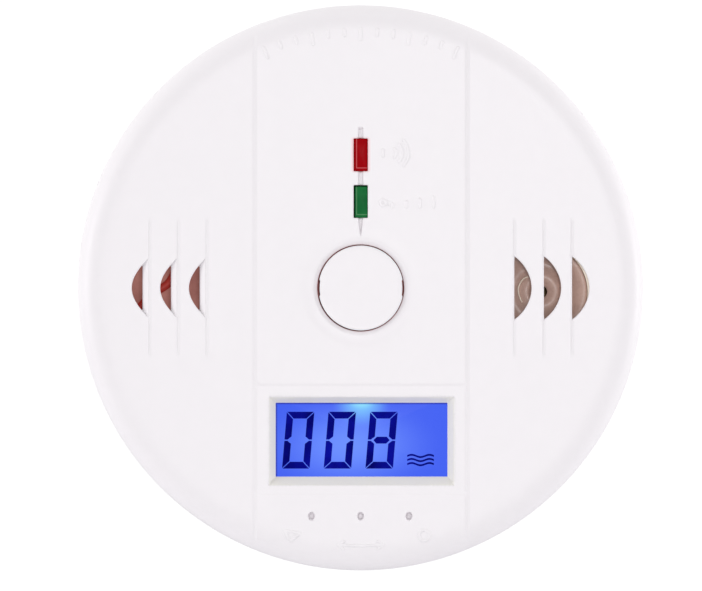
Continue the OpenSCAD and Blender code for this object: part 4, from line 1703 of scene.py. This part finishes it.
@dataclass
class Display:
    """The lit display's glass and the figures on it."""

    digit_height: float = 10.0
    digit_width: float = 4.85
    slant: float = math.radians(4.85)
    stroke: float = 1.2
    gap: float = 0.1
    lefts: tuple[float, ...] = (-13.82, -6.5, 0.84)
    foot: float = -31.78
    figures: tuple[str, ...] = ("abcdef", "abcdef", "abcdefg")
    depth: float = 0.03

    def segments(self) -> dict[str, np.ndarray]:
        """Outlines of the seven bars, as slanting blocks whose ends meet at 45 degrees.

        Returns:
            An outline for each bar.
        """
        w, h, s, g = self.digit_width, self.digit_height, self.stroke, self.gap
        m = h / 2
        up = np.array([[0, g], [s, s + g], [s, m - s / 2 - g * 0.4], [s * 0.45, m - g],
                       [0, m - g * 1.2]])
        low = np.array([[g, 0], [w - g, 0], [w - s - g, s], [s + g, s]])
        middle = np.array([[s * 0.82, m], [s * 1.3, m - s / 2], [w - s * 1.3, m - s / 2],
                           [w - s * 0.82, m], [w - s * 1.3, m + s / 2], [s * 1.3, m + s / 2]])
        across = np.array([w, 0])
        flip = np.array([1, -1])
        return {
            "e": up[::-1] * 1.0, "c": (across - up * [1, -1]),
            "f": (up * flip + [0, h]), "b": (across + [0, h] - up),
            "d": low, "a": (low * flip + [0, h])[::-1], "g": middle,
        }

    @staticmethod
    def anticlockwise(outline: np.ndarray) -> np.ndarray:
        """Turns an outline the right way round, by the sign of its area."""
        nxt = np.roll(outline, -1, axis=0)
        area = (outline[:, 0] * nxt[:, 1] - outline[:, 1] * nxt[:, 0]).sum()
        return outline if area > 0 else outline[::-1]

    def build(self) -> None:
        """Makes the glass and the figures on it."""
        glass = Extent.of("lcd_front_glass")
        pane = block(glass.width, glass.height, glass.back, glass.front, 0.1, 0.08, glass.middle)
        piece("display_glass", pane, DISPLAY, Body.HEAD, ["lcd_front_glass"])
        bars = []
        shapes = self.segments()
        for left, figure in zip(self.lefts, self.figures):
            for key in figure:
                shape = self.anticlockwise(shapes[key])
                shape = shape + [left, self.foot]
                lean = (shape[:, 1] - self.foot) * math.tan(self.slant)
                bars.append(prism(shape + np.column_stack([lean, np.zeros(len(lean))]),
                                  glass.front + 0.005, glass.front + 0.005 + self.depth))
        bars += self.cloud_sign(glass.front + 0.005)
        piece("display_figures", Skin.joined(bars), DIGIT_INK, Body.HEAD)

    def cloud_sign(self, back: float) -> list[Skin]:
        """A small sign for gas in the air in place of the unit: three short waves.

        Args:
            back: Height of the sign's back.

        Returns:
            The waves' surfaces.
        """
        t = np.linspace(0, 1, 25)
        made = []
        for row in range(3):
            x = 8.2 + 4.7 * t
            y = -31.0 + 0.72 * row + 0.2 * np.sin(TAU * 1.5 * t)
            upper = np.column_stack([x, y + 0.17])
            lower = np.column_stack([x, y - 0.17])
            for a in range(0, 24, 4):
                strip = np.vstack([lower[a: a + 5], upper[a: a + 5][::-1]])
                made.append(prism(strip, back, back + self.depth))
        return made


@dataclass
class Sounder:
    """The round sounder behind the right louvres.

    Attributes:
        lid: The lid's section from its rounded edge in to the hole: radius and depth.
        hole: Radius of the hole.
        bead: Places of a pale tube on the lid, a painted highlight along the arc where the light
            catches it.
        highlight_depth: How far below the lid's top it lies.
        highlight_radius: Its radius.
    """

    lid: tuple[tuple[float, float], ...] = (
        (7.5, 0), (7.1, 0.04), (6.7, 0.14), (6.2, 0.34), (5.7, 0.52), (5.2, 0.62), (4.7, 0.62),
        (4.2, 0.54), (3.7, 0.4), (3.2, 0.24), (2.9, 0.18), (2.6, 0.16), (2.3, 0.18), (2.0, 0.26),
        (1.7, 0.4), (1.5, 0.5), (1.36, 0.54), (1.25, 0.6), (1.15, 0.7))
    hole: float = 1.15
    highlight_depth: float = 0.32
    highlight_radius: float = 0.12
    bead: tuple[tuple[float, float], ...] = (
        (29.5, 1.95), (28.79, 1.74), (28.19, 1.07), (27.82, 0.26), (27.73, -0.33),
        (27.84, -1.14), (28.12, -1.95), (28.44, -2.55))

    def build(self) -> None:
        """Turns the lid with its round crest and its hole, and the cup under it, and lays a pale
        tube on the lid as a painted highlight, with its corners cut three times."""
        lid, case = Extent.of("sounder_lid"), Extent.of("sounder_case")
        x, y = lid.middle
        top, r = lid.front, lid.width / 2
        section = [(self.hole, lid.back), (r - 0.1, lid.back), (r, lid.back + 0.1),
                   (r, top - 0.12), (r - 0.05, top - 0.04), (r - 0.15, top)]
        section += [(radius, top - depth) for radius, depth in self.lid]
        piece("sounder_top", lathe(section, 128, True, (x, y)), SOUNDER, Body.HEAD,
              ["sounder_lid"])
        cup = [(0, case.back), (r - 0.2, case.back), (r, case.back + 0.2), (r, lid.back - 0.02),
               (r - 1, lid.back - 0.02), (r - 1, case.back + 2), (0, case.back + 2)]
        piece("sounder_cup", lathe(cup, 128, centre=(x, y)), SOUNDER, Body.HEAD,
              ["sounder_case"])
        # A painted highlight: a pale cream tube along the lit arc of the lid.
        path = np.array([(*place, top - self.highlight_depth) for place in self.bead])
        for _ in range(3):
            path = Leads.cut_corners(path)
        piece("sounder_painted_highlight", tube(path, self.highlight_radius, 10, (0, 0, 1)), CREAM, Body.HEAD)


@dataclass
class Leads:
    """The two insulated wires from the battery bay to the board."""

    radius: float = 0.75
    red: tuple[tuple[float, float, float], ...] = (
        (-30.2, -14.8, 15.2), (-33.5, -14.8, 15.2), (-38, -13.5, 15.6), (-43, -9, 16.4),
        (-44.8, -9, 19), (-44.8, -9, 26), (-44.6, -8, 31.2), (-42.6, -6.6, 32.6),
        (-39.2, -4, 32.5), (-37.4, -1.7, 32.5), (-35.4, -0.3, 32.5), (-33.3, 1.0, 32.5),
        (-31.9, 5.2, 32.5), (-28.8, 7.6, 32.4), (-24.2, 7.6, 30), (-23.7, 6.8, 22.7))
    black: tuple[tuple[float, float, float], ...] = (
        (30.2, 14.8, 15.2), (33.5, 14.8, 15.2), (38, 14, 15.6), (42.6, 11.6, 16.4),
        (44.6, 10, 19), (44.2, 11.6, 23.5), (42, 14.5, 26.4), (38, 19.6, 27),
        (33.5, 22.6, 26.4), (31, 23.4, 25), (30.2, 23.6, 22.7))

    @staticmethod
    def cut_corners(points: np.ndarray) -> np.ndarray:
        """Swaps each corner for points a quarter and three quarters along its two sides."""
        a, b = points[:-1], points[1:]
        pairs = np.stack([0.75 * a + 0.25 * b, 0.25 * a + 0.75 * b], axis=1).reshape(-1, 3)
        return np.vstack([points[:1], pairs, points[-1:]])

    def build(self) -> None:
        """Runs each wire along its route with the corners cut four times."""
        for name, route, finish, slot, node in (
                ("red_battery_wire", self.red, RED_WIRE, "red_insulation", "red_lead"),
                ("black_battery_wire", self.black, BLACK_WIRE, "black_insulation", "black_lead")):
            path = np.array(route, float)
            for _ in range(4):
                path = self.cut_corners(path)
            piece(name, tube(path, self.radius, 16, (0.25, 1, 0.12)), finish, Body.HEAD,
                  [node])


@dataclass
class RearCase:
    """The rear case with its tongue, spigot, lugs and battery bay."""

    lock_angles: tuple[float, ...] = (80, 200, 320)
    back: float = 7.5
    inside: float = 9.5
    seam: float = 11.4

    def build(self) -> None:
        """Turns the case, and adds the lugs and the bay."""
        box = Extent.of("rear_case")
        r, back, inside, seam = box.width / 2, self.back, self.inside, self.seam
        case = lathe([(42, inside), (42, back), (r - 0.5, back), (r - 0.15, back + 0.15),
                      (r, back + 0.5), (r, seam - 0.12), (r - 0.12, seam), (47.8, seam),
                      (47.8, 13.4), (47.7, 13.5), (46.2, 13.5), (46.2, inside)], 192, True)
        spigot = lathe([(41, 3.1), (41.1, 3), (42.4, 3), (42.5, 3.1), (42.5, 9.4), (41, 9.4)],
                       192, True)
        lugs = [sector(42.3, 46.8, 3.3, 4.8, a, 20) for a in self.lock_angles]
        piece("rear_shell", Skin.joined([case, spigot, *lugs, self.floor(back, inside),
                                         *self.bay()]),
              CASE_WHITE, Body.HEAD, ["rear_case"])

    @staticmethod
    def floor(back: float, front: float) -> Skin:
        """The flat floor round the bay's mouth: from a rectangle out to a circle, in rings.

        Args:
            back: Height of its back.
            front: Height of its front.

        Returns:
            The floor's surface.
        """
        count = 96
        angle = np.arange(count) * TAU / count
        way = np.column_stack([np.cos(angle), np.sin(angle)])
        reach = np.minimum(28.8 / np.maximum(np.abs(way[:, 0]), 1e-9),
                           22.8 / np.maximum(np.abs(way[:, 1]), 1e-9))
        hole, edge = way * reach[:, None], way * 42.5
        rings = [np.column_stack([xy, np.full(count, z)])
                 for xy, z in ((hole, back), (edge, back), (edge, front), (hole, front))]
        return loft(np.array(rings), capped=False, looped=True)

    @staticmethod
    def bay() -> list[Skin]:
        """The bay's four walls and its floor."""
        walls = [block(1.5, 48.6, 9.3, 19.3, 0.1, 0.08, (s * 29.55, 0)) for s in (-1, 1)]
        walls += [block(60.6, 1.5, 9.3, 19.3, 0.1, 0.08, (0, s * 23.55)) for s in (-1, 1)]
        return walls + [block(60.4, 48.4, 17.85, 19.28, 0.1, 0.08)]


@dataclass
class WallPlate:
    """The plate that stays on the wall: rim, screw slots, bayonet lips and stops."""

    thickness: float = 2.2
    rim_wall: float = 1.8
    lock_angles: tuple[float, ...] = (80, 200, 320)
    slot_spacing: float = 66
    slot: tuple[float, float] = (9.0, 4.5)

    def build(self) -> None:
        """Makes the plate as a dish that opens away from the wall, with its lips."""
        box = Extent.of("mounting_plate")
        radius, rim = 49.0, box.front
        holes = []
        for k in range(4):
            long, wide = self.slot if k % 2 == 0 else self.slot[::-1]
            at = (self.slot_spacing / 2 * math.cos(k * math.pi / 2),
                  self.slot_spacing / 2 * math.sin(k * math.pi / 2))
            holes.append(rounded_rectangle(long, wide, min(long, wide) / 2 - 0.001, 12, at))
        outer = Section.dished(radius, 0, -rim, 0.6)
        inner = Section.dished(radius - self.rim_wall, -self.thickness, -rim, 0.4)
        dish = Dish(outer, inner, holes, rounds=192, spacing=3.5).skin().flipped()
        parts = [dish, sector(radius - 0.2, radius + 0.6, 1, rim - 0.5, 269, 2)]
        inside = radius - self.rim_wall + 0.2
        for a in self.lock_angles:
            parts.append(sector(43.2, inside, 5, 6.5, a - 3.6, 24))
            parts.append(sector(44.2, inside, self.thickness - 0.2, 5.2, a - 3.6, 3))
            parts.append(sector(44.2, inside, self.thickness - 0.2, 5, a + 44.6, 3))
        piece("wall_dish", Skin.joined(parts), CASE_WHITE, Body.WALL_PLATE,
              ["mounting_plate"])


# ------------------------------------------------------------------ studio


@dataclass
class Studio:
    """Camera, lights, sky and floor, in metres.

    Attributes:
        distance: How far in front of the wall the camera stands.
        aside: How far it stands to the right and up.
        target: Where it looks, to the right and up, and target_out how far out from the wall.
        scale: Points of the picture to a millimetre at the target.
        picture_width: Points across the picture.
        sensor: Width of the camera's sensor in millimetres.
        softboxes: Name, place, size and power of each lamp.
        sky_level: Strength of the sky behind the detector, and sky_front, sky_sides and
            sky_height how much it changes towards the front, the sides and upwards.
        floor_level: Height of the floor.
        floor_radius: Its radius.
    """

    distance: float = 2.4
    aside: tuple[float, float] = (-0.02415, 0.01646)
    target: tuple[float, float] = (-0.00165, -0.00136)
    target_out: float = 0.0316
    scale: float = 5.677
    picture_width: int = 702
    sensor: float = 36.0
    softboxes: tuple[tuple[str, tuple[float, float, float], float, float], ...] = (
        ("front_softbox", (0.15, -1.8, 0.15), 0.3, 5.95),
        ("key_softbox", (-1.0, -0.5, 0.1), 0.4, 2.0),
        ("fill_softbox", (1.2, -0.12, 0.0), 0.5, 2.7))
    sky_level: float = 1.08
    sky_front: float = 0.9
    sky_sides: float = 0.05
    sky_height: float = 0.15
    floor_level: float = -0.095
    floor_radius: float = 0.6

    def build(self) -> None:
        """Sets the camera up first, then the light."""
        self.camera()
        self.sky()
        for box in self.softboxes:
            self.lamp(*box)
        self.floor()
        bpy.context.scene.view_settings.view_transform = "Standard"
        bpy.context.scene.view_settings.look = "None"

    def floor(self) -> None:
        """Lays a round slab under the detector."""
        slab = lathe([(0, self.floor_level - 0.004), (self.floor_radius, self.floor_level - 0.004),
                      (self.floor_radius, self.floor_level), (0, self.floor_level)], 128)
        mesh = bpy.data.meshes.new("floor")
        mesh.from_pydata((slab.points - [0, 0.1, 0]).tolist(), [],
                         slab.triangles.tolist() + slab.quads.tolist())
        mesh.materials.append(FLOOR.material())
        placed("floor", mesh)

    def camera(self) -> None:
        """Stands the camera a little to the left and above, looking at the face."""
        data = bpy.data.cameras.new("front_camera")
        made = placed("front_camera", data)
        place = Vector((self.aside[0], -self.distance, self.aside[1]))
        aim = Vector((self.target[0], -self.target_out, self.target[1]))
        made.location = place
        made.rotation_euler = (aim - place).to_track_quat("-Z", "Y").to_euler()
        data.sensor_width = self.sensor
        data.lens = self.scale / MM * (aim - place).length / self.picture_width * self.sensor
        data.clip_start, data.clip_end = 0.01, 20
        bpy.context.scene.camera = made

    def sky(self) -> None:
        """White behind the detector. Its strength falls with the square of the way's part
        towards the front and upwards or down, and rises with the square of that sideways."""
        world = bpy.data.worlds.new("studio_sky")
        bpy.context.scene.world = world
        nodes = Nodes(world)
        way = nodes.node("ShaderNodeSeparateXYZ",
                         Vector=nodes.node("ShaderNodeTexCoord").outputs["Generated"])
        ahead = nodes.maths("MAXIMUM", nodes.maths("MULTIPLY", way.outputs[1], -1.0), 0.0)
        level = self.sky_level
        for part, share in ((ahead, -self.sky_front), (way.outputs[0], self.sky_sides),
                            (way.outputs[2], -self.sky_height)):
            square = nodes.maths("MULTIPLY", part, part)
            level = nodes.maths("ADD", level, nodes.maths("MULTIPLY", square, share))
        back = nodes.node("ShaderNodeBackground", Color=(1, 1, 1, 1), Strength=level)
        nodes.node("ShaderNodeOutputWorld", Surface=back.outputs[0])

    @staticmethod
    def lamp(name: str, place: Sequence[float], size: float, power: float) -> None:
        """Stands a square softbox at a place, facing the detector.

        Args:
            name: Its name.
            place: Where it stands.
            size: Its width.
            power: Its power in watts.
        """
        data = bpy.data.lights.new(name, "AREA")
        data.size = size
        data.energy = power
        made = placed(name, data)
        made.location = place
        made.rotation_euler = (Vector((0, -0.03, 0)) - Vector(place)).to_track_quat(
            "-Z", "Y").to_euler()


def main() -> None:
    """Builds everything in order."""
    logging.basicConfig(level=logging.INFO, format="%(name)s: %(message)s")
    Studio().build()
    for part in (FrontCover(), TestButton(), Lamps(), Display(), Sounder(), Leads(), RearCase(),
                 WallPlate()):
        part.build()
    for finish, nodes in CARRIED_OVER:
        dress(nodes, finish)
    bpy.context.view_layer.update()


if __name__ == "__main__":
    main()
